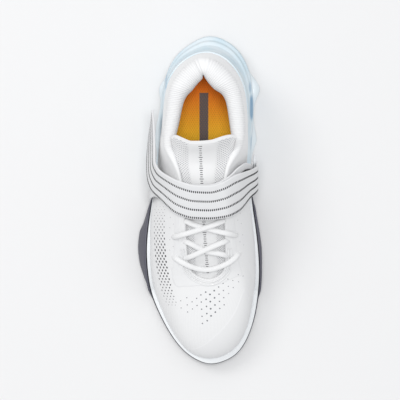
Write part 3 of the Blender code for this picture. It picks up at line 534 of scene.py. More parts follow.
def cloth_ring(row, height, reach):
    """The upper's outline at a height, moved outwards."""
    v = v_at_height(outer_point, row, height)
    outward = unit(outer_normal(row, v) * [1, 1, 0])
    ring = outer_point(row, v) + outward * reach
    ring[:, 2] = height
    return ring


def sampled_surface(surface):
    """Points over the front and sides of the shoe, for heights under tongue and lace."""
    row = np.linspace(THROAT_FIRST_ROW, THROAT_LAST_ROW, 521)
    v = np.linspace(0.35, 1, 90)
    return surface(row[:, None], v).reshape(-1, 3)


def height_on(samples, x, y):
    """Height of a sampled surface over one place in plan."""
    away = np.hypot(samples[:, 0] - x, samples[:, 1] - y)
    near = samples[np.argsort(away)[:14]]
    plane = np.column_stack([near[:, 0] - x, near[:, 1] - y, np.ones(len(near))])
    return float(np.linalg.lstsq(plane, near[:, 2], rcond=None)[0][2])


def throat_edges(y, surface):
    """Both edges of the throat at a station, the lateral one first."""
    edges = []
    for first, last in ((THROAT_FIRST_ROW, TOE_ROW), (TOE_ROW, THROAT_LAST_ROW)):
        line = surface(np.linspace(first, last, 300), 1)
        line = line[np.argsort(line[:, 1])]
        edges.append(np.array([np.interp(y, line[:, 1], axis) for axis in line.T]))
    return edges


def across_throat(x, left, right):
    """Place between the throat's edges, from -1 to 1, and the height of their chord."""
    t = (2 * x - left[0] - right[0]) / (right[0] - left[0])
    return t, left[2] + (right[2] - left[2]) * (t + 1) / 2


def tongue_height(x, y):
    """Height of the tongue between the throat edges, or None outside them."""
    if y < THROAT_FRONT:
        return None
    t, chord = across_throat(x, *throat_edges(y, inner_point))
    if abs(t) > 1:
        return None
    crown = np.interp(y, [THROAT_FRONT, -50, 60], [1.0, TONGUE_CROWN, TONGUE_CROWN + 1.5])
    return chord - GAP - 0.9 + crown * (1 - t * t)


def along_rows(names, rows, count):
    """A table's columns at evenly spaced places along its rows."""
    place = np.linspace(0, len(rows) - 1, count)
    table = columns(names, rows)
    return {name: along(np.arange(len(rows)), table[name], place) for name in table}


def lace_line(rows, deck):
    """A lace laid over the shoe."""
    run = along_rows(LACE_COLUMNS, rows, LACE_STEPS)
    height = []
    for x, y in zip(run["x"], run["y"]):
        t, chord = across_throat(x, *throat_edges(y, outer_point))
        if abs(t) < 1:
            height.append(chord - LACE_SAG * (1 - t * t))
        else:
            height.append(height_on(deck, x, y))
    return np.column_stack([run["x"], run["y"], np.array(height) + LACE_STAND + run["lift"]])


CAMERA_HEIGHT = 3.0
CAMERA_LENS = 296.0

# How finely the shown surfaces are divided
LOOP = 480
RISE, RIM, LINING = ((100, 14, 36))
SOLE_AROUND = 140
TONGUE_GRID = ((170, 73))
STRAP_GRID = ((420, 61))

# Soft troughs pressed into the upper, each between two places on its surface
CREASE_COLUMNS = "row_from v_from row_to v_to width depth"
CREASE_ROWS = (
    (0.52, 0.96, 0.52, 1.00, 1.3, 0.3),
    (0.6, 0.70, 5.2, 0.62, 0.7, 0.45),
    (18.8, 0.62, 23.4, 0.70, 0.7, 0.45),
    (2.6, 0.55, 3.1, 0.86, 3.0, 0.5),
    (3.9, 0.50, 4.4, 0.84, 3.4, 0.5),
    (19.7, 0.50, 20.2, 0.84, 3.4, 0.5),
    (21.2, 0.55, 21.6, 0.86, 3.0, 0.5),
    (8.9, 0.42, 9.4, 0.80, 3.6, 0.35),
    (9.5, 0.40, 10.0, 0.72, 3.6, 0.3),
    (14.6, 0.40, 15.0, 0.76, 3.6, 0.35),
    (11.6, 0.10, 12.5, 0.14, 1.2, 0.35),
    (1.9, 0.62, 2.3, 0.96, 0.6, 0.25),
    (21.6, 0.62, 21.9, 0.96, 0.6, 0.25),
)

# Fuller padding inside the collar, with a notch at the back: each swell's place and
# spread are counted in rows
NOTCH_ROW = 0.52
COLLAR_COLUMNS = "from_notch swell spread"
COLLAR_ROWS = (
    (-0.7, 5.5, 1.35),
    (1.5, 3.0, 0.6),
    (-2.3, 2.6, 0.6),
    (0.0, -1.8, 0.13),
)

# Where marks and padding fade on the upper, and the collar's pale knit, which is partly painted
# light: rows away from the heel, or shares of v
RIBBED_ROWS, PALE_AND_LIT_ROWS = (4.6, 6.2), (4.0, 8.5)
RIB_RISE, PADDING_RISE = (0.92, 1.0), (0.45, 0.85)

# Holes through the vamp, one row for each column of them from its rearmost hole
PERFORATION_COLUMNS = "x first_y holes diameter"
PERFORATION_PITCH, PERFORATION_SLANT = 6.46, 0.35
PERFORATION_ROWS = (
    (-17.3, -90.4, 2, 0.9),
    (-11.8, -87.6, 3, 1.0),
    (-7.1, -91.3, 2, 1.0),
    (-3.0, -88.1, 2, 1.1),
    (0.8, -85.0, 5, 1.2),
    (5.1, -82.5, 5, 1.4),
    (8.9, -84.6, 4, 1.6),
    (12.7, -81.2, 4, 1.5),
    (16.7, -77.9, 4, 1.2),
    (20.6, -74.6, 4, 1.1),
    (25.0, -70.8, 3, 0.9),
    (29.4, -72.0, 2, 0.9),
    (34.3, -66.8, 2, 0.8),
    (38.6, -68.2, 1, 0.8),
)
PINHOLE = 0.75
PINHOLE_ROWS = (
    (-26.3, -15.3), (-23.6, -21.4), (-26.8, -24.7), (-27.0, -35.5), (-24.0, -41.5),
    (-27.1, -44.8), (35.7, -11.9), (33.6, -17.9), (36.8, -21.0), (38.1, -31.1),
    (35.6, -37.3), (39.1, -40.2),
)
EYELET = 3.6
EYELET_ROWS = ((-22.6, -51.2), (34.1, -48.1), (-23.2, -33.0), (32.0, -31.4))

# Plain field of dots on the outer side: its middle line in plan, its width and
# the largest dot at each station
DOT_COLUMNS = "y x width diameter"
DOT_PITCH = 3.0
DOT_ROWS = (
    (-6.0, -35.8, 10.5, 0.7),
    (-24.0, -36.6, 10.5, 1.6),
    (-50.0, -35.4, 10.5, 2.3),
    (-78.0, -30.6, 10.5, 1.6),
    (-96.0, -24.6, 10.5, 0.7),
)

# Beads round the throat: cloth between each and the edge, and its radius
PIPING_ROWS = ((1.2, 0.9), (3.9, 0.75))
PIPING_FIRST_ROW, PIPING_LAST_ROW, PIPING_STAND = 8.6, 15.4, 0.25

# Films over the cloth: how deep their edges sink, and how wide the slope to them is
FILM_SUNK, FILM_SLOPE = 0.25, 2.6

# Stitch lines along the strap, as a share of its width from the rear edge
STITCH_SHARES = (0.19, 0.455, 0.71, 0.945)
STITCH_PITCH, STITCH_SIZE = 1.78, (1.05, 2.4, 0.3)
CHANNEL_WIDTH, CHANNEL_DEPTH, WEBBING_STAND = 0.9, 0.32, 0.2
STRAP_FOLD_ROW, STITCHED_TO_ROW = 15.0, 21.0

# Laces as they run through the eyelets and under the edges of the throat, in plan,
# with how high each lies over the shoe
LACE_COLUMNS = "x y lift"
LACE_HALF_WIDTH, LACE_HALF_HEIGHT, LACE_EASING = 2.45, 1.6, 7
SHOWN_LACES = {
    "lace_bar_front_cord_0": (
        (-23.4, -50.6, -6.5),
        (-21.8, -51.9, -1.2),
        (-14.3, -56.6, 0.0),
        (-3.7, -60.9, 1.0),
        (6.9, -62.4, 1.6),
        (18.4, -59.3, 1.0),
        (27.9, -54.6, 0.0),
        (33.7, -48.8, -1.2),
        (34.9, -47.4, -6.5),
    ),
    "lace_crossing_low_cord_0": (
        (-14.0, -52.6, -7.5),
        (-10.0, -51.0, -1.6),
        (-2.0, -47.6, 1.9),
        (7.5, -43.2, 3.1),
        (17.0, -39.0, 1.4),
        (22.6, -36.7, -2.2),
        (26.0, -35.2, -8.0),
    ),
    "lace_crossing_low_cord_1": (
        (-14.8, -36.2, -7.5),
        (-11.0, -37.6, -2.0),
        (-4.0, -41.2, 0.8),
        (6.5, -46.0, 0.6),
        (16.0, -47.6, 0.8),
        (22.4, -49.2, -1.6),
        (26.2, -50.4, -7.5),
    ),
    "lace_crossing_high_cord_0": (
        (-24.2, -33.2, -6.5),
        (-22.5, -32.8, -1.0),
        (-10.0, -29.2, 1.0),
        (6.0, -24.2, 3.0),
        (16.0, -20.6, 1.4),
        (22.0, -18.0, -3.0),
    ),
    "lace_crossing_high_cord_1": (
        (-13.6, -17.6, -4.5),
        (-9.0, -20.6, -0.6),
        (2.0, -24.2, 0.6),
        (14.0, -27.4, 0.8),
        (31.0, -31.2, -1.0),
        (32.8, -31.6, -6.5),
    ),
}

# Tongue's shown top: how far its edge is pushed back at places across it, how much
# wider it is at each side, and the stations over which these set in
TONGUE_SIDE = 1.06
TONGUE_EDGE_COLUMNS = "t push"
TONGUE_EDGE_ROWS = (
    (-1.06, -1.2), (-0.86, 0.9), (-0.38, -3.4), (0.20, -2.6), (0.78, 1.2), (1.06, -0.6),
)
TONGUE_WIDER_LATERAL, TONGUE_WIDER_MEDIAL = 4.4, 5.4
PUSH_FROM_TO, WIDER_FROM_TO, FULL_FROM_TO = (38.0, 54.0), (16.0, 38.0), (30.0, 50.0)
STRIP_FROM_TO = (0.42, 0.47)  # edge of the smooth strip, as a share of half the width

# Scale of ticks down the tongue: its line in plan from the top. Every fifth is longest.
TICK_COLUMNS = "y x"
TICK_ROWS = ((47.0, 0.2), (13.0, 1.7), (-20.0, 3.4), (-66.0, 7.0))
TICK_PITCH, TICK_WIDTH, TICK_LENGTHS = 1.9, 0.8, (2.2, 2.8, 3.6)

# Insole rings: height over the footbed and distance in from the cloth
INSOLE_COLUMNS = "lift reach"
INSOLE_ROWS = (
    (GAP, 1.4), (0.35 * INSOLE_THICKNESS, 0.6), (INSOLE_THICKNESS + 1.2, 0.7),
    (INSOLE_THICKNESS, 5.0),
)

# Sides of the foam and of the heel plate: distance in from the edge, and the height,
# as a share of the foam's height or in millimetres
SIDE_COLUMNS = "inset height"
FOAM_SIDE_ROWS = (
    (2.4, 0.0), (0.9, 0.14), (0.2, 0.4), (0.25, 0.66), (0.75, 0.72), (0.75, 0.78),
    (0.3, 0.84),
)
PLATE_SIDE_ROWS = (
    (1.6, 0.0), (0.0, 1.4), (0.2, HEEL_RUBBER - 0.8), (1.0, HEEL_RUBBER),
)
TOUCH = 0.2  # how far foam and clip reach into the cloth
FOAM_TOE = -98.0  # in front of it the lip keeps its own height
UNDER_WRAP = 0.8  # foam below the top of the rubber wrap

# Places on the wedge where painted shade makes its blue deeper, in its hollow slots
SLOT_SHADE_COLUMNS = "x y_from y_to half_width depth"
SLOT_SHADE_ROWS = (
    (45.4, 107.0, 97.0, 1.3, 0.5),
    (46.6, 95.0, 72.5, 1.6, 0.85),
    (46.8, 58.0, 45.0, 1.4, 0.3),
    (-30.6, 115.0, 99.0, 1.0, 0.35),
)

# Quads of a box with its lower corners first, and a low pillow in units of its own size
BOX_FACES = np.array(
    [(0, 1, 5, 4), (1, 2, 6, 5), (2, 3, 7, 6), (3, 0, 4, 7), (4, 5, 6, 7), (3, 2, 1, 0)]
)
PILLOW_POINTS = np.array(
    [
        (-0.5, -0.5, -0.5), (0.5, -0.5, -0.5), (0.5, 0.5, -0.5), (-0.5, 0.5, -0.5),
        (-0.42, -0.4, 0.5), (0.42, -0.4, 0.5), (0.42, 0.4, 0.5), (-0.42, 0.4, 0.5),
    ]
)
PILLOW = PILLOW_POINTS, BOX_FACES

# Pitches of the woven patterns in millimetres
KNIT_PITCH, RIB_PITCH, OPEN_MESH_PITCH, RIBBON_PITCH, BRAID_PITCH = 1.15, 1.5, 2.3, 0.9, 1.1

# Insole, in metres: its mesh, where painted shade deepens its orange towards the heel, and its
# plain grey stripe
INSOLE_MESH_PITCH = 0.0021
HEEL_SHADE_FROM_TO = (0.045, 0.105)
STRIPE_X, STRIPE_EDGE_X = 0.0035, (0.0042, 0.0037)
STRIPE_Y, STRIPE_EDGE_Y = 0.07, (0.027, 0.0262)

# Colours
KNIT_WHITE = (0.765, 0.767, 0.77)
KNIT_GREY = (0.64, 0.65, 0.67)
# painted light: the collar's own whiter padding, lightened further to stand in for the light on it
COLLAR_WHITE_AND_LIGHT = (0.84, 0.842, 0.845)
TONGUE_WHITE = (0.79, 0.792, 0.795)
MESH_GREY = (0.34, 0.35, 0.38)
FILM_WHITE = (0.76, 0.763, 0.768)
FILM_GREY = (0.7, 0.705, 0.71)
RIBBON_WHITE = (0.79, 0.793, 0.797)
RIBBON_GREY = (0.68, 0.685, 0.695)
BRAID_WHITE = (0.81, 0.812, 0.815)
BRAID_GREY = (0.66, 0.665, 0.67)
GOLDEN = (1.0, 0.58, 0.03)
# painted shade: the insole's heel orange, darker where the collar shades it
HEEL_SHADE_ORANGE = (0.92, 0.2, 0.012)
STRIPE_GREY = (0.13, 0.11, 0.12)
PALE_BLUE = (0.72, 0.79, 0.83)
BLUE = (0.6, 0.73, 0.8)
# painted shade in the wedge's hollow slots
SLOT_SHADE_BLUE = (0.13, 0.3, 0.48)
FLOOR_WHITE = (0.755, 0.755, 0.757)
ROOM_WHITE = (0.97, 0.98, 1.0)

# Moulded and printed looks, and the painted shade in the holes: colour, roughness, depth of grain
# in millimetres and coat
MOULDED_LOOKS = {
    "foam": ((0.765, 0.785, 0.8), 0.6, 0.05, 0.0),
    "dark_rubber": ((0.09, 0.09, 0.115), 0.6, 0.08, 0.0),
    "clear_rubber_look": ((0.72, 0.78, 0.81), 0.4, 0.04, 0.1),
    "hard_white": ((0.78, 0.8, 0.82), 0.3, 0.02, 0.3),
    "dark_thread": ((0.022, 0.022, 0.024), 0.9, 0.02, 0.0),
    # painted shade: dark discs inside the holes
    "hole_shadow": ((0.2, 0.205, 0.22), 0.95, 0.02, 0.0),
    "tick_print": ((0.11, 0.11, 0.12), 0.8, 0.02, 0.0),
    "dot_print": ((0.1, 0.1, 0.105), 0.6, 0.02, 0.0),
}

# The room in millimetres, and its lights in metres and watts
ROOM_STRENGTH = 0.62
FLOOR_HALF = 3000.0
LIGHT_TARGET = (0, 0, 0.03)
LIGHT_ROWS = (
    ("key", (-1.0, 0.75, 1.7), 0.8, 8.5, (1.0, 0.99, 0.97)),
    ("overhead", (0.1, 0.15, 3.8), 1.2, 67.0, (1.0, 1.0, 1.0)),
)


# Making pieces from grids of points

def grid_faces(tall, wide, loop_down=False, loop_across=False):
    """Quads of a grid of points, and the grid places of their corners."""
    i, j = np.meshgrid(
        np.arange(tall if loop_down else tall - 1),
        np.arange(wide if loop_across else wide - 1),
        indexing="ij",
    )
    down = np.stack([i, i, i + 1, i + 1], axis=-1).reshape(-1, 4)
    across = np.stack([j, j + 1, j + 1, j], axis=-1).reshape(-1, 4)
    return (down % tall) * wide + across % wide, (down, across)


def corner_chart(corners, grid, loop_down=False, loop_across=False):
    """Lengths in millimetres down and across a grid, for each corner of its faces."""
    if loop_down:
        grid = np.concatenate([grid, grid[:1]])
    if loop_across:
        grid = np.concatenate([grid, grid[:, :1]], axis=1)
    return np.stack([travelled(grid, 0)[corners], travelled(grid, 1)[corners]], axis=-1)


def mesh_of(name, points, faces):
    """A mesh from points in millimetres."""
    mesh = bpy.data.meshes.new(name)
    mesh.from_pydata((np.asarray(points, float) * MM).tolist(), [], np.asarray(faces).tolist())
    return mesh


def add_object(name, data):
    """An object of the scene from a mesh, light or camera."""
    made = bpy.data.objects.new(name, data)
    bpy.context.scene.collection.objects.link(made)
    return made


def add_piece(name, points, faces, slot, look, stands_for=(), chart=None, marks=None):
    """A smooth mesh in the part's frame that rides on the shoe."""
    points = np.asarray(points, float).reshape(-1, 3)
    a, b, c, d = (points[faces[:, k]] for k in range(4))
    volume = np.sum(a * (np.cross(b, c) + np.cross(c, d)))
    if volume < 0:
        faces = faces[:, ::-1]
        chart = None if chart is None else chart[:, ::-1]
    mesh = mesh_of(name, points, faces)
    mesh.shade_smooth()
    mesh.set_sharp_from_angle(angle=math.radians(48))
    if chart is not None:
        layer = mesh.uv_layers.new(name="weave")
        layer.data.foreach_set("uv", np.asarray(chart, np.float32).ravel())
    for key, values in (marks or {}).items():
        mark = mesh.attributes.new(key, "FLOAT", "POINT")
        mark.data.foreach_set("value", np.asarray(values, np.float32).ravel())
    mesh.materials.append(look)
    piece = add_object(name, mesh)
    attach(piece, "root")
    if stands_for:
        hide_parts(*stands_for)
    return piece


def add_grid(name, grid, slot, look, stands_for=(), loop_across=True, marks=None):
    """A piece from a grid of points, most often rings one after another."""
    faces, corners = grid_faces(*grid.shape[:2], loop_across=loop_across)
    chart = corner_chart(corners, grid, loop_across=loop_across)
    return add_piece(name, grid, faces, slot, look, stands_for, chart, marks)


def refined(grid, tall, wide):
    """A coarse grid of points drawn again with more rows and columns."""
    rows, cells = grid.shape[:2]
    down = np.linspace(0, rows - 1, tall)
    across = np.linspace(0, cells - 1, wide)
    lines = [[along(np.arange(rows), grid[:, j, k], down) for k in range(3)] for j in range(cells)]
    lines = np.moveaxis(np.array(lines), 2, 0)
    fine = [[along(np.arange(cells), line[:, k], across) for k in range(3)] for line in lines]
    return np.moveaxis(np.array(fine), 1, 2)


def sheet_normals(grid):
    return unit(np.cross(np.gradient(grid, axis=1), np.gradient(grid, axis=0)))


def rounded_sheet(grid, above, below, radius):
    """Rings round a sheet with thickness and rounded sides, one for each of its rows."""
    normal = sheet_normals(grid)
    width = travelled(grid, 1)
    from_side = np.minimum(width, width[:, -1:] - width)
    left = 1 - np.clip(from_side / radius, 0, 1)
    share = np.sqrt(np.clip(1 - left * left, 0.02, 1))[..., None]
    middle = grid + normal * (above - below) / 2
    half = (above + below) / 2 * share
    return np.concatenate([middle + normal * half, (middle - normal * half)[:, ::-1]], axis=1)


def closed_ends(rings):
    """Rings with both ends of the loft drawn in to a line across the middle."""
    flat = [(ring + ring[::-1]) / 2 for ring in (rings[0], rings[-1])]
    return np.concatenate([[flat[0]], rings, [flat[1]]])


def softened(rings, radius):
    """Each level between the first and the last is rounded over by a small radius."""
    kept = [rings[0]]
    for before, ring, after in zip(rings, rings[1:], rings[2:]):
        turned = []
        for way in (before - ring, after - ring):
            length = np.linalg.norm(way, axis=1, keepdims=True)
            turned.append(ring + unit(way) * np.minimum(radius, length * 0.4))
        start, end = turned
        kept += [start, (start + 2 * ring + end) / 4, end]
    return kept + [rings[-1]]


def filled(ring, full_loop):
    """Rings from an outline in to its middle line."""
    other = np.roll(ring[::-1], 1, axis=0) if full_loop else ring[::-1]
    middle = (ring + other) / 2
    return [ring + (middle - ring) * share for share in np.linspace(0, 1, 11)[1:]]


def stacked_piece(name, rings, slot, look, node, radius, full_loop=False, marks_of=None):
    """A sole piece from its rings, with both ends filled across the shoe."""
    soft = softened(rings, radius)
    under = filled(soft[0], full_loop)[::-1]
    grid = np.array(under + soft + filled(soft[-1], full_loop))
    marks = marks_of(grid) if marks_of else None
    return add_grid(name, grid, slot, look, [node], marks=marks)


def near_line(points, line):
    """Distance from each point to a line of points."""
    flat = points.reshape(-1, 1, 3)
    return np.linalg.norm(flat - line[None], axis=-1).min(axis=1).reshape(points.shape[:-1])


def blended(low, high, values):
    """0 below the lower value and 1 above the higher one, smooth between them."""
    t = np.clip((values - low) / (high - low), 0, 1)
    return t * t * (3 - 2 * t)


def swept(line, half_width, half_height, sides):
    """An oval cord along a line."""
    run = unit(np.gradient(line, axis=0))
    side = unit(np.cross(run, UP))
    rise = np.cross(side, run)
    angle = np.arange(sides)[None, :, None] * 2 * math.pi / sides
    return (
        line[:, None]
        + half_width * np.cos(angle) * side[:, None]
        + half_height * np.sin(angle) * rise[:, None]
    )


# Upper, overlays and tongue

def build_upper(look):
    """One closed skin: outside, rim of the collar and throat, and lining."""
    row = np.linspace(0, ROWS, LOOP, endpoint=False)
    v = 1 - (1 - np.linspace(0, 1, RISE + 1)) ** 1.15
    outside = outer_point(row[:, None], v)
    relief = np.zeros(outside.shape[:2])
    creases = columns(CREASE_COLUMNS, CREASE_ROWS)
    for start, low, end, high, width, depth in zip(*creases.values()):
        line = outer_point(np.linspace(start, end, 40), np.linspace(low, high, 40))
        relief -= depth * np.exp(-((near_line(outside, line) / width) ** 2))
    outside = outside + outer_normal(row[:, None], v) * relief[..., None]

    away = (row - NOTCH_ROW + ROWS / 2) % ROWS - ROWS / 2
    full = np.zeros(len(row))
    for place, swell, spread in zip(*columns(COLLAR_COLUMNS, COLLAR_ROWS).values()):
        full += swell * np.exp(-(((away - place) / spread) ** 2))
    edge = outside[:, -1]
    inner = inner_point(row, 1) - outer_normal(row, 1) * full[:, None]
    middle, reach = (edge + inner) / 2, (edge - inner) / 2
    rise = unit(edge - outer_point(row, 1 - 0.02))
    half = np.linalg.norm(reach, axis=1)[:, None]
    turn = np.linspace(0, math.pi, RIM + 2)[1:-1]
    rim = [middle + reach * math.cos(a) + rise * half * math.sin(a) for a in turn]

    deep = np.linspace(1, 0, LINING + 1)
    swell = full[:, None] * blended(*PADDING_RISE, deep)
    inward = outer_normal(row[:, None], deep) * swell[..., None]
    lining = inner_point(row[:, None], deep) - inward
    grid = np.concatenate([outside, np.stack(rim, axis=1), lining], axis=1)

    faces, corners = grid_faces(*grid.shape[:2], loop_down=True, loop_across=True)
    chart = corner_chart(corners, grid, True, True)
    chart[..., 0] = travelled(np.concatenate([inner, inner[:1]]))[corners[0]]
    from_heel = np.minimum(row, ROWS - row)[:, None]
    ribbed = np.ones(grid.shape[:2])
    ribbed[:, : RISE + 1] = 0.7 * blended(*RIB_RISE, v)
    # paler knit round the heel: partly its own whiter padding, partly painted light
    pale = np.broadcast_to(1 - blended(*PALE_AND_LIT_ROWS, from_heel), grid.shape[:2])
    marks = {"rib": ribbed * (1 - blended(*RIBBED_ROWS, from_heel)), "pale": pale}
    piece = add_piece("upper_cloth", grid, faces, "knit_white", look, ["upper"], chart, marks)
    return grid


def build_patch(name, rows, from_top, look, node, tall, wide, thick):
    """A fused overlay: a film over the cloth with its edges drawn down into it."""
    row = np.linspace(rows[0][0], rows[-1][0], tall)
    share = (1 - np.cos(np.linspace(0, math.pi, wide))) / 2
    v = []
    for place, reach in zip(row, table_at(OVERLAY_COLUMNS, rows, row)["width"]):
        far = max(reach, OVERLAY_MARGIN + 0.3)
        cloth = OVERLAY_MARGIN + (far - OVERLAY_MARGIN) * share
        v.append(v_at_cloth(place, cloth, from_top, 241))
    base = outer_point(row[:, None], v)
    across, down = travelled(base, 1), travelled(base, 0)
    side = np.minimum(across, across[:, -1:] - across)
    end = np.minimum(down, down[-1:] - down)
    height = (thick + FILM_SUNK) * blended(0.0, FILM_SLOPE, np.minimum(side, end)) - FILM_SUNK
    points = base + outer_normal(row[:, None], v) * height[..., None]
    add_grid(name, points, "overlay_white", look, [node], loop_across=False)
    return points


def build_piping(look):
    """Two raised beads round the front of the throat."""
    rows = np.linspace(PIPING_FIRST_ROW, PIPING_LAST_ROW, 160)
    for k, (cloth, radius) in enumerate(PIPING_ROWS):
        v = [v_at_cloth(row, cloth, True, 121) for row in rows]
        line = outer_point(rows, v) + outer_normal(rows, v) * PIPING_STAND
        add_grid(f"throat_bead_{k}", swept(line, radius, radius, 12), "overlay_white", look)


def tongue_grid(lining):
    """Rows under the throat that follow its edges or the lining, and two above it."""
    share = np.array(TONGUE_SHARES)
    grid = []
    for y in TONGUE_STATIONS:
        left, right = throat_edges(max(y, THROAT_FRONT), inner_point)
        open_x = (left[0] + right[0]) / 2 + share * (right[0] - left[0]) / 2
        line = []
        for x in [left[0] - TONGUE_WING, *open_x, right[0] + TONGUE_WING]:
            z = tongue_height(x, y)
            if z is None:
                z = height_on(lining, x, y) - GAP - 0.5
            line.append((x, y, z))
        grid.append(line)
    top = columns(TONGUE_TOP_COLUMNS, TONGUE_TOP_ROWS)
    t = np.array([-TONGUE_SIDE, *share, TONGUE_SIDE])
    bow = 1 - t * t
    for y, left_x, left_z, mid_z, right_x, right_z in zip(*top.values()):
        x = left_x + (right_x - left_x) * (t + 1) / 2
        z = left_z + (right_z - left_z) * (t + 1) / 2 + (mid_z - (left_z + right_z) / 2) * bow
        grid.append(np.column_stack([x, y - 1.5 * bow, z]))
    return np.array(grid)


def build_tongue(lining, look):
    """The padded tongue, with two ears at its top and a smooth strip down its middle."""
    tall, wide = TONGUE_GRID
    grid = refined(tongue_grid(lining), tall, wide)
    t = np.linspace(-TONGUE_SIDE, TONGUE_SIDE, wide)
    from_middle = t / TONGUE_SIDE
    push = table_at(TONGUE_EDGE_COLUMNS, TONGUE_EDGE_ROWS, t)["push"]
    grid[..., 1] += push * blended(*PUSH_FROM_TO, grid[..., 1])
    wider = np.where(t > 0, TONGUE_WIDER_MEDIAL, TONGUE_WIDER_LATERAL) * from_middle**3
    grid[..., 0] += wider * blended(*WIDER_FROM_TO, grid[..., 1])
    swell = (1 - from_middle**8) * blended(*FULL_FROM_TO, grid[..., 1])
    grid = grid + sheet_normals(grid) * swell[..., None]
    rings = closed_ends(rounded_sheet(grid, 0.0, TONGUE_THICKNESS, TONGUE_THICKNESS / 2))
    faces, corners = grid_faces(*rings.shape[:2], loop_across=True)
    length = travelled(rings.mean(axis=1))
    half = np.linalg.norm(grid[:, -1] - grid[:, 0], axis=1).mean() / 2
    around = np.concatenate([t, t[::-1]])
    chart = np.stack([length[corners[0]], (half * around)[corners[1] % len(around)]], axis=-1)
    marks = {"strip": np.tile(1 - blended(*STRIP_FROM_TO, np.abs(around)), len(rings))}
    piece = add_piece("tongue_cloth", rings, faces, "knit_white", look, ["tongue"], chart, marks)
    return grid


# Small shapes laid on the surfaces

def disc(sides):
    """A shallow disc with a domed top, made of quads round two rings and a middle."""
    angle = np.arange(sides) * 2 * math.pi / sides
    ring = np.column_stack([np.cos(angle), np.sin(angle)]) / 2
    points = [raised(ring, -0.5), raised(ring * 0.9, 0.35), raised(ring * 0.05, 0.5)]
    k = np.arange(sides)
    n = (k + 1) % sides
    faces = [np.column_stack([a + k, a + n, a + sides + n, a + sides + k]) for a in (0, sides)]
    return np.concatenate(points), np.concatenate(faces)


def scattered(shape, points, runs, rises, sizes):
    """Copies of a small shape at each place, along its run and rise."""
    own_points, own_faces = shape
    side = unit(np.cross(rises, runs))
    run = np.cross(side, rises)
    sizes = np.broadcast_to(sizes, (len(points), 3))
    scaled = own_points[None] * sizes[:, None]
    laid = (
        points[:, None]
        + scaled[..., :1] * run[:, None]
        + scaled[..., 1:2] * side[:, None]
        + scaled[..., 2:] * rises[:, None]
    )
    shift = np.arange(len(points))[:, None, None] * len(own_points)
    return laid.reshape(-1, 3), (own_faces[None] + shift).reshape(-1, 4)


def surface_tree(grid, loop_down=False):
    """A tree of one surface, to lay small pieces on."""
    faces, _ = grid_faces(*grid.shape[:2], loop_down=loop_down)
    return BVHTree.FromPolygons(grid.reshape(-1, 3).tolist(), faces.tolist())


def add_laid(name, shape, trees, spots, slot, look):
    """Copies of a shape where plumb lines first meet the surfaces. Each spot has a
    place in plan and three sizes."""
    points, normals, sizes = [], [], []
    for x, y, *size in spots:
        hits = [tree.ray_cast(Vector((x, y, 300.0)), Vector((0, 0, -1))) for tree in trees]
        hits = [hit for hit in hits if hit[0] is not None]
        if hits:
            point, normal = max(hits, key=lambda hit: hit[0].z)[:2]
            points.append(point)
            normals.append(normal if normal.z > 0 else -normal)
            sizes.append(size)
    points, normals = np.array(points), np.array(normals)
    ahead = np.tile([0.0, -1.0, 0.0], (len(normals), 1))
    ahead = unit(ahead - normals * np.sum(ahead * normals, axis=1, keepdims=True))
    add_piece(name, *scattered(shape, points, ahead, normals, sizes), slot, look)


def build_holes(trees, look):
    """Painted shade in the perforations, the pinholes and the eyelets: dark discs at their
    bottoms.
    """
    table = columns(PERFORATION_COLUMNS, PERFORATION_ROWS)
    holes = []
    for x, first, count, diameter in zip(*table.values()):
        for k in range(int(count)):
            x_k, y_k = x + PERFORATION_SLANT * k, first - PERFORATION_PITCH * k
            holes.append((x_k, y_k, 1.15 * diameter))
    holes += [(x, y, PINHOLE) for x, y in PINHOLE_ROWS]
    holes += [(x, y, EYELET) for x, y in EYELET_ROWS]
    spots = [(x, y, size, size, 0.12) for x, y, size in holes]
    # painted shade: dark discs stand in for the shade inside the holes
    add_laid("vamp_holes", disc(10), trees, spots, "grey_rubber", look)


def build_dots(trees, look):
    """A plain field of printed dots on the outer side."""
    spots = []
    step = DOT_PITCH * math.sqrt(3) / 2
    for k, y in enumerate(np.arange(DOT_ROWS[0][0], DOT_ROWS[-1][0], -step)):
        here = table_at(DOT_COLUMNS, DOT_ROWS, y)
        size = here["diameter"]
        for cell in range(-4, 5):
            offset = (cell + 0.5 * (k % 2)) * DOT_PITCH
            if abs(offset) <= here["width"] / 2:
                spots.append((here["x"] + offset, y, size, size, 0.14))
    add_laid("side_dots", disc(14), trees, spots, "overlay_white", look)


def build_ticks(trees, look):
    """A plain scale of ticks down the tongue, every fifth one longer."""
    short, medium, long = TICK_LENGTHS
    spots = []
    for k, y in enumerate(np.arange(TICK_ROWS[0][0], TICK_ROWS[-1][0], -TICK_PITCH)):
        x = table_at(TICK_COLUMNS, TICK_ROWS, y)["x"]
        length = long if k % 5 == 0 else (short, medium)[k % 2]
        spots.append((x, y, TICK_WIDTH, length, 0.24))
    add_laid("tongue_ticks", PILLOW, trees, spots, "knit_white", look)


# Strap, tab and laces

def strap_grid(tall, wide):
    """Points across the ribbon's middle sheet, all along its folds."""
    edges = along_rows(STRAP_COLUMNS, STRAP_ROWS, tall)
    rear = np.column_stack([edges["rear_x"], edges["rear_y"], edges["rear_z"]])
    front = np.column_stack([edges["front_x"], edges["front_y"], edges["front_z"]])
    share = np.linspace(0, 1, wide)[None, :, None]
    return rear[:, None] * (1 - share) + front[:, None] * share


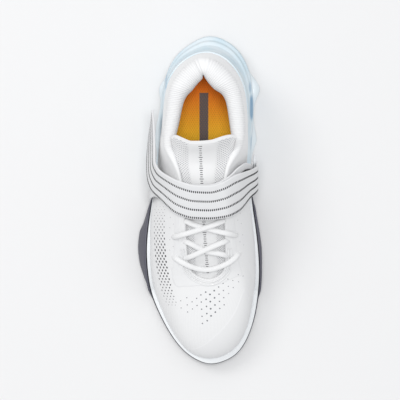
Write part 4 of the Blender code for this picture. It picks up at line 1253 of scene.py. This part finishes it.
def build_strap(look, thread):
    """The folded ribbon with its stitched channels, and the dark stitches in them."""
    tall, wide = STRAP_GRID
    grid = strap_grid(tall, wide)
    normal = sheet_normals(grid)
    rings = rounded_sheet(grid, STRAP_THICKNESS / 2, STRAP_THICKNESS / 2, 0.9)
    share = np.linspace(0, 1, wide)
    width = np.linalg.norm(grid[:, -1] - grid[:, 0], axis=1).mean()
    channel = sum(
        np.exp(-(((share - line) * width / CHANNEL_WIDTH) ** 2)) for line in STITCH_SHARES
    )
    sink = normal * (CHANNEL_DEPTH * np.clip(channel, 0, 1) - WEBBING_STAND)[None, :, None]
    rings[:, :wide] -= sink
    rings[:, wide:] += sink[:, ::-1]
    add_grid("strap_webbing", closed_ends(rings), "webbing_white", look, ["strap"])

    rows = np.linspace(0, len(STRAP_ROWS) - 1, tall)
    points, runs, rises = [], [], []
    for line in STITCH_SHARES:
        path = grid[:, 0] * (1 - line) + grid[:, -1] * line
        length = travelled(path)
        place = np.arange(2.0, np.interp(STITCHED_TO_ROW, rows, length), STITCH_PITCH)
        at = read_at(place, length, path)
        rise = unit(read_at(place, length, normal[:, int(round(line * (wide - 1)))]))
        rise[np.interp(place, length, rows) >= STRAP_FOLD_ROW] *= -1
        points.append(at + rise * (STRAP_THICKNESS / 2 + 0.02))
        runs.append(unit(np.gradient(at, axis=0)))
        rises.append(rise)
    places = [np.concatenate(lines) for lines in (points, runs, rises)]
    add_piece("strap_stitches", *scattered(PILLOW, *places, STITCH_SIZE), "grey_rubber", thread)


def build_tab(look):
    """The tab from the ring's lower bar down into the side of the shoe."""
    rear, front = np.array(RING_BAR_REAR), np.array(RING_BAR_FRONT)
    line = np.stack(list(along_rows(TAB_COLUMNS, TAB_ROWS, 40).values()), axis=1)
    share = np.linspace(-0.5, 0.5, 21)[None, :, None]
    grid = ((rear + front) / 2 + line)[:, None] + unit(front - rear) * TAB_WIDTH * share
    rings = closed_ends(rounded_sheet(grid, TAB_THICKNESS / 2, TAB_THICKNESS / 2, 0.5))
    add_grid("ring_tab", rings, "webbing_white", look, ["strap_tab"])


def build_laces(deck, look):
    """Each run of the lace, eased over a few points and swept as a cord."""
    reach = LACE_EASING // 2
    for cord, rows in SHOWN_LACES.items():
        line = resampled(lace_line(rows, deck), 60)
        padded = np.pad(line, ((reach, reach), (0, 0)), mode="edge")
        share = np.ones(LACE_EASING) / LACE_EASING
        eased = np.column_stack([np.convolve(axis, share, "valid") for axis in padded.T])
        grid = swept(resampled(eased, 90), LACE_HALF_WIDTH, LACE_HALF_HEIGHT, 20)
        add_grid(cord, grid, "lace_white", look, [cord.split("_cord_")[0]])


# Insole and sole

def build_insole(look):
    """The insole, dished up a little along the cloth."""
    row = np.linspace(0, ROWS, 2 * SOLE_AROUND, endpoint=False)
    bed = footbed(outer_point(row, 0)[:, 1])
    rings = []
    for lift, reach in zip(*columns(INSOLE_COLUMNS, INSOLE_ROWS).values()):
        v = v_at_height(inner_point, row, bed + min(lift, INSOLE_THICKNESS))
        outward = unit(outer_normal(row, v) * [1, 1, 0])
        ring = inner_point(row, v) - outward * reach
        rings.append(raised(ring[:, :2], bed + lift))
    piece = stacked_piece("insole_foam", rings, "orange_mesh", look, "insole", 0.8, full_loop=True)


def cut_grooves(piece, rows):
    """Cuts the shallow grooves across the underside."""
    table = columns(SOLE_COLUMNS, rows)
    points, faces = [], []
    for y, lateral, medial in zip(*table.values()):
        rear, front = y + GROOVE_WIDTH / 2, y - GROOVE_WIDTH / 2
        outline = [(lateral, rear), (lateral, front), (medial, front), (medial, rear)]
        faces += (BOX_FACES + len(points)).tolist()
        points += [(*corner, z) for z in (-1.0, GROOVE_DEPTH) for corner in outline]
    cutter = add_object("grooves", mesh_of("grooves", points, faces))
    step = piece.modifiers.new("grooves", "BOOLEAN")
    step.operation, step.solver, step.object = "DIFFERENCE", "EXACT", cutter
    graph = bpy.context.evaluated_depsgraph_get()
    cut = bpy.data.meshes.new_from_object(piece.evaluated_get(graph))
    piece.modifiers.remove(step)
    piece.data = cut
    bpy.data.objects.remove(cutter)


def build_midsole(edge, look):
    """Foam from the wedge to the toe, with its lip against the cloth."""
    row = rows_between(WEDGE_FRONT - GAP, TOE_ROW, SOLE_AROUND)
    ring = facing(row, edge)
    ring[[0, -1], 1] = WEDGE_FRONT - GAP
    bed = footbed(outer_point(row, 0)[:, 1])
    low = ground(ring[:, 1]) + RUBBER + GAP
    wrap = table_at(WRAP_COLUMNS, WRAP_ROWS, ring[:, 1])
    crest = np.maximum(bed + LIP, wrap["top"] - UNDER_WRAP)
    crest = np.where(ring[:, 1] < FOAM_TOE, bed + LIP, crest)
    rings = [
        raised(inset(ring, distance), low + share * (bed - low))
        for distance, share in zip(*columns(SIDE_COLUMNS, FOAM_SIDE_ROWS).values())
    ]
    lip = [raised(inset(ring, 0.35), crest), cloth_ring(row, crest, -TOUCH)]
    rings += level_ends(lip, bed)
    rings.append(raised(cloth_ring(row, bed + LIP, GAP)[:, :2], bed))
    stacked_piece("midsole_foam", rings, "foam_white", look, "midsole", 0.45)


def build_forefoot_rubber(edge, look):
    """Dark tread from waist to toe, with its wraps at the ball."""
    ring = ring_between(edge, TREAD_REAR, TOE_END - 1, SOLE_AROUND)
    half = len(ring) // 2
    wrap = table_at(WRAP_COLUMNS, WRAP_ROWS, ring[:, 1])
    reach = np.concatenate([wrap["lateral_out"][:half], wrap["medial_out"][half:]])
    floor = ground(ring[:, 1])
    crest = np.maximum(wrap["top"], floor + RUBBER + 0.8)
    crest[[0, -1]] = floor[[0, -1]] + RUBBER
    tall = np.clip((crest - floor - RUBBER - 0.8) / 12, 0, 1)
    base = floor + np.where(tall > 0, 2.6 + 5.0 * tall, 2.4)
    rings = [
        raised(inset(ring, 3.0), floor),
        raised(inset(ring, -0.85 * reach), floor + 1.6),
        raised(inset(ring, -reach), base),
        raised(inset(ring, -0.6 - 1.7 * tall), crest - 0.4 * tall),
        raised(inset(ring, -0.45), crest),
        raised(inset(ring, -0.35), floor + RUBBER),
    ]
    tread = stacked_piece("forefoot_tread", rings, "grey_rubber", look, "outsole_forefoot", 0.6)
    cut_grooves(tread, FOREFOOT_GROOVE_ROWS)


def build_heel_rubber(look):
    """Clear heel plate with its flared corners."""
    ring = ring_between(sole_edge(HEEL_PLATE_ROWS), HEEL_END, HEEL_RUBBER_FRONT, SOLE_AROUND)
    rings = [
        raised(inset(ring, distance), height)
        for distance, height in zip(*columns(SIDE_COLUMNS, PLATE_SIDE_ROWS).values())
    ]
    plate = stacked_piece("heel_plate", rings, "clear_rubber", look, "outsole_heel", 0.5)
    cut_grooves(plate, HEEL_GROOVE_ROWS)


def wedge_marks(grid):
    """How deep the painted shade of the slots is at each point of the wedge."""
    table = columns(SLOT_SHADE_COLUMNS, SLOT_SHADE_ROWS)
    deep = np.zeros(grid.shape[:2])
    for x, y_from, y_to, half, depth in zip(*table.values()):
        past = np.maximum(grid[..., 1] - y_from, y_to - grid[..., 1]) + 4 * half
        away = np.hypot(grid[..., 0] - x, np.maximum(past, 0) / 4)
        deep = np.maximum(deep, depth * (1 - blended(half * 0.5, half * 1.4, away)))
    return {"deep": deep}


def build_wedge(edge, look):
    """Pale moulding under the heel with its stepped side and the clip round the counter."""
    row = rows_between(WEDGE_FRONT, 0, SOLE_AROUND)
    ring = facing(row, edge)
    ring[[0, -1], 1] = WEDGE_FRONT
    y = outer_point(row, 0)[:, 1]
    bed = footbed(y)
    crest = np.maximum(level(CLIP_ROWS, y), bed + LIP)
    middle = (bed + crest) / 2
    low = ground(ring[:, 1]) + HEEL_RUBBER + GAP
    counter = cloth_ring(row, bed + LIP, GAP + CLIP_THICKNESS + 0.6)[:, :2]
    rings = [raised(inset(ring, 2.6), low)]
    for share, lean in zip(*columns(WEDGE_STEP_COLUMNS, WEDGE_STEP_ROWS).values()):
        rings.append(raised(ring + (counter - ring) * lean, low + share * (bed - low)))
    rings += [
        cloth_ring(row, middle, GAP + CLIP_THICKNESS),
        cloth_ring(row, crest, GAP + 0.45 * CLIP_THICKNESS),
        cloth_ring(row, crest, -TOUCH),
        cloth_ring(row, middle, -TOUCH),
        cloth_ring(row, bed + LIP, GAP + 0.15),
    ]
    level_ends(rings[-6:], bed)
    rings.append(raised(rings[-1][:, :2], bed))
    stacked_piece(
        "heel_moulding", rings, "wedge_blue", look, "heel_wedge", 0.5, marks_of=wedge_marks
    )


# Materials

def new_look(name, color, roughness, sheen=0.0, coat=0.0):
    """A material and its node tree."""
    material = bpy.data.materials.new(name)
    material.use_nodes = True
    shader = material.node_tree.nodes["Principled BSDF"]
    shader.inputs["Base Color"].default_value = (*color, 1)
    shader.inputs["Roughness"].default_value = roughness
    shader.inputs["Sheen Weight"].default_value = sheen
    shader.inputs["Coat Weight"].default_value = coat
    return material, material.node_tree


def wired(tree, kind, values=(), **settings):
    """A node with its settings, and its inputs set or linked by name or number."""
    node = tree.nodes.new(kind)
    for key, value in settings.items():
        setattr(node, key, value)
    for key, value in dict(values).items():
        if isinstance(value, bpy.types.NodeSocket):
            tree.links.new(value, node.inputs[key])
        else:
            node.inputs[key].default_value = value
    return node


def math_of(tree, operation, *values):
    node = wired(tree, "ShaderNodeMath", enumerate(values), operation=operation)
    return node.outputs[0]


def mixed(tree, share, first, second):
    """Two colours mixed by a share."""
    ends = [(*tone, 1) if isinstance(tone, tuple) else tone for tone in (first, second)]
    values = {0: share, 6: ends[0], 7: ends[1]}
    return wired(tree, "ShaderNodeMix", values, data_type="RGBA").outputs[2]


def between(tree, value, low, high):
    """0 to 1 as a value goes from low to high."""
    values = {0: value, 1: low, 2: high}
    node = wired(tree, "ShaderNodeMapRange", values, interpolation_type="SMOOTHSTEP")
    return node.outputs[0]


def bumped(tree, height, depth):
    """Relief of a depth in millimetres."""
    values = {"Height": height, "Distance": depth * MM, "Strength": 1.0}
    bump = wired(tree, "ShaderNodeBump", values)
    tree.links.new(bump.outputs[0], tree.nodes["Principled BSDF"].inputs["Normal"])


def painted(tree, tone, height, depth):
    """Colour and relief of a look."""
    tree.links.new(tone, tree.nodes["Principled BSDF"].inputs["Base Color"])
    bumped(tree, height, depth)


def object_place(tree):
    """Place on the shoe in metres."""
    return wired(tree, "ShaderNodeTexCoord").outputs["Object"]


def split(tree, vector):
    """The first two values of a vector."""
    node = wired(tree, "ShaderNodeSeparateXYZ", {0: vector})
    return node.outputs[0], node.outputs[1]


def weave(tree):
    """Lengths in millimetres along and across a piece."""
    return wired(tree, "ShaderNodeUVMap", uv_map="weave").outputs[0]


def wave(tree, place, pitch):
    """A ridge of height 0 to 1 at every pitch."""
    turn = math_of(tree, "MULTIPLY", place, 2 * math.pi / pitch)
    return math_of(tree, "MULTIPLY_ADD", math_of(tree, "SINE", turn), 0.5, 0.5)


def crossed(tree, down, across, pitch):
    """Two waves that cross at a slant."""
    return [wave(tree, math_of(tree, way, down, across), pitch) for way in ("ADD", "SUBTRACT")]


def noise(tree, place, scale):
    values = {"Vector": place, "Scale": scale, "Detail": 3.0}
    return wired(tree, "ShaderNodeTexNoise", values).outputs[0]


def mark_of(tree, name):
    return wired(tree, "ShaderNodeAttribute", attribute_name=name).outputs["Fac"]


def knit_look(color, shade, pale):
    """Fine knit with slightly darker gaps, ribbed where the piece is marked, with painted shade
    between the ribs; paler where marked, partly painted light.
    """
    material, tree = new_look("knit", color, 0.85, sheen=0.15)
    uv = weave(tree)
    down, across = split(tree, uv)
    waves = wave(tree, down, KNIT_PITCH), wave(tree, across, KNIT_PITCH * 1.2)
    knit = math_of(tree, "MULTIPLY", *waves)
    soft = noise(tree, uv, 0.09)
    tone = mixed(tree, math_of(tree, "MULTIPLY", knit, 0.5), color, shade)
    tone = mixed(tree, math_of(tree, "MULTIPLY_ADD", soft, 0.5, 0.35), tone, color)
    # paler where marked: partly the collar's own whiter padding, partly painted light
    tone = mixed(tree, mark_of(tree, "pale"), tone, pale)
    rib = math_of(tree, "MULTIPLY", wave(tree, down, RIB_PITCH), mark_of(tree, "rib"))
    height = math_of(tree, "MULTIPLY", knit, 0.02)
    height = math_of(tree, "MULTIPLY_ADD", rib, 0.3, height)
    # painted shade in the troughs between the ribs
    rib_trough_shade = math_of(tree, "SUBTRACT", mark_of(tree, "rib"), rib)
    tone = mixed(tree, math_of(tree, "MULTIPLY", rib_trough_shade, 0.35), tone, shade)
    painted(tree, tone, height, 1.0)
    return material


def tongue_look(color, shade):
    """Open mesh each side of a smooth centre strip."""
    material, tree = new_look("tongue_mesh", color, 0.85, sheen=0.1)
    down, across = split(tree, weave(tree))
    mesh = math_of(tree, "MULTIPLY", *crossed(tree, down, across, OPEN_MESH_PITCH))
    side = math_of(tree, "SUBTRACT", 1.0, mark_of(tree, "strip"))
    hole = math_of(tree, "MULTIPLY", between(tree, mesh, 0.3, 0.7), side)
    tone = mixed(tree, math_of(tree, "MULTIPLY", hole, 0.8), color, shade)
    fine = math_of(tree, "MULTIPLY", wave(tree, down, 0.7), wave(tree, across, 0.8))
    height = math_of(tree, "MULTIPLY_ADD", fine, 0.06, math_of(tree, "MULTIPLY", hole, -0.35))
    painted(tree, tone, height, 1.0)
    return material


def overlay_look(color, shade):
    """Thin film fused to the cloth."""
    material, tree = new_look("fused_film", color, 0.5, coat=0.08)
    grain = noise(tree, weave(tree), 1.4)
    tone = mixed(tree, math_of(tree, "MULTIPLY", grain, 0.25), color, shade)
    painted(tree, tone, grain, 0.05)
    return material


def webbing_look(color, shade):
    """Ribbon woven of fine cords across it."""
    material, tree = new_look("woven_ribbon", color, 0.8, sheen=0.1)
    down, across = split(tree, weave(tree))
    cord = wave(tree, down, RIBBON_PITCH)
    tone = mixed(tree, math_of(tree, "MULTIPLY", cord, 0.6), shade, color)
    fine = math_of(tree, "MULTIPLY_ADD", wave(tree, across, 0.8), 0.3, cord)
    painted(tree, tone, fine, 0.025)
    return material


def lace_look(color, shade):
    """Braid of strands crossing round the cord."""
    material, tree = new_look("braid", color, 0.8, sheen=0.1)
    strands = crossed(tree, *split(tree, weave(tree)), BRAID_PITCH)
    braid = math_of(tree, "MAXIMUM", *strands)
    painted(tree, mixed(tree, between(tree, braid, 0.2, 0.7), shade, color), braid, 0.07)
    return material


def insole_look(front, heel, stripe):
    """Hexagonal mesh from golden at the toes to deep orange at the heel; the deep orange is
    painted shade under the collar.
    """
    material, tree = new_look("insole_mesh", front, 0.9)
    x, y = split(tree, object_place(tree))
    # painted shade: golden turns to deeper orange towards the heel, under the collar
    tone = mixed(tree, between(tree, y, *HEEL_SHADE_FROM_TO), front, heel)
    steep = math_of(tree, "MULTIPLY", y, 0.6)
    mesh = math_of(tree, "MULTIPLY", *crossed(tree, x, steep, INSOLE_MESH_PITCH))
    hole = between(tree, mesh, 0.3, 0.8)
    bands = []
    for place, middle, edge in ((x, STRIPE_X, STRIPE_EDGE_X), (y, STRIPE_Y, STRIPE_EDGE_Y)):
        away = math_of(tree, "ABSOLUTE", math_of(tree, "SUBTRACT", place, middle))
        bands.append(between(tree, away, *edge))
    tone = mixed(tree, math_of(tree, "MULTIPLY", *bands), tone, stripe)
    tone = mixed(tree, math_of(tree, "MULTIPLY", hole, 0.4), tone, tuple(c * 0.4 for c in front))
    painted(tree, tone, hole, -0.15)
    return material


def wedge_look(pale, middle, deep):
    """Translucent moulding, with painted shade deepening its blue in its slots."""
    material, tree = new_look("pale_moulding", middle, 0.6, coat=0.04)
    place = object_place(tree)
    cloud = noise(tree, place, 45.0)
    tone = mixed(tree, between(tree, cloud, 0.3, 0.7), middle, pale)
    # painted shade: the blue darkens in the hollow slots
    tone = mixed(tree, mark_of(tree, "deep"), tone, deep)
    painted(tree, tone, noise(tree, place, 900.0), 0.03)
    return material


def moulded_look(name):
    """Rubber, foam, hard plastic, print and the holes' painted shade, each with a fine grain."""
    color, roughness, grain, coat = MOULDED_LOOKS[name]
    material, tree = new_look(name, color, roughness, coat=coat)
    place = object_place(tree)
    cloud = math_of(tree, "MULTIPLY", noise(tree, place, 60.0), 0.35)
    tone = mixed(tree, cloud, color, tuple(c * 0.86 for c in color))
    painted(tree, tone, noise(tree, place, 1600.0), grain)
    return material


# Stage

def add_light(name, place, size, power, color):
    """A round light aimed at the shoe."""
    light = bpy.data.lights.new(name, "AREA")
    light.shape = "DISK"
    light.size = size
    light.energy = power
    light.color = color
    lamp = add_object(name, light)
    lamp.location = place
    aim = Vector(LIGHT_TARGET) - Vector(place)
    lamp.rotation_euler = aim.to_track_quat("-Z", "Y").to_euler()


def build_stage():
    """Floor, room light, lights and the camera straight above."""
    signs = ((-1, -1), (1, -1), (1, 1), (-1, 1))
    corners = [(FLOOR_HALF * x, FLOOR_HALF * y, 0) for x, y in signs]
    floor = add_object("floor", mesh_of("floor", corners, [(0, 1, 2, 3)]))
    material, tree = new_look("pale_floor", FLOOR_WHITE, 0.9)
    bumped(tree, noise(tree, object_place(tree), 30.0), 0.02)
    floor.data.materials.append(material)

    world = bpy.data.worlds.new("soft_room")
    world.use_nodes = True
    back = world.node_tree.nodes["Background"]
    back.inputs[0].default_value = (*ROOM_WHITE, 1)
    back.inputs[1].default_value = ROOM_STRENGTH
    bpy.context.scene.world = world
    for row in LIGHT_ROWS:
        add_light(*row)

    lens = bpy.data.cameras.new("above")
    lens.lens = CAMERA_LENS
    lens.clip_end = 20.0
    camera = add_object("above", lens)
    camera.location = (0.0, 0.0, CAMERA_HEIGHT)
    bpy.context.scene.camera = camera
    bpy.context.scene.view_settings.view_transform = "Standard"


film = overlay_look(FILM_WHITE, FILM_GREY)
ribbon = webbing_look(RIBBON_WHITE, RIBBON_GREY)
hard_white = moulded_look("hard_white")
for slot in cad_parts["strap_ring"].material_slots:
    slot.material = hard_white

cloth = build_upper(knit_look(KNIT_WHITE, KNIT_GREY, COLLAR_WHITE_AND_LIGHT))
toe_film = build_patch("toe_film", TOE_CAP_ROWS, False, film, "toe_cap", 260, 90, 0.2)
lace_film = build_patch("lace_film", EYESTAY_ROWS, True, film, "eyestay", 420, 70, 0.3)
build_piping(film)
tongue = build_tongue(sampled_surface(inner_point), tongue_look(TONGUE_WHITE, MESH_GREY))
build_strap(ribbon, moulded_look("dark_thread"))
build_tab(ribbon)
build_laces(sampled_surface(outer_point), lace_look(BRAID_WHITE, BRAID_GREY))

sole = sole_edge(SOLE_ROWS)
build_insole(insole_look(GOLDEN, HEEL_SHADE_ORANGE, STRIPE_GREY))
build_midsole(sole, moulded_look("foam"))
build_forefoot_rubber(sole, moulded_look("dark_rubber"))
build_heel_rubber(moulded_look("clear_rubber_look"))
build_wedge(sole, wedge_look(PALE_BLUE, BLUE, SLOT_SHADE_BLUE))

skins = [surface_tree(cloth, True), surface_tree(toe_film), surface_tree(lace_film)]
build_holes(skins, moulded_look("hole_shadow"))
build_dots(skins, moulded_look("dot_print"))
build_ticks([surface_tree(tongue)], moulded_look("tick_print"))
build_stage()
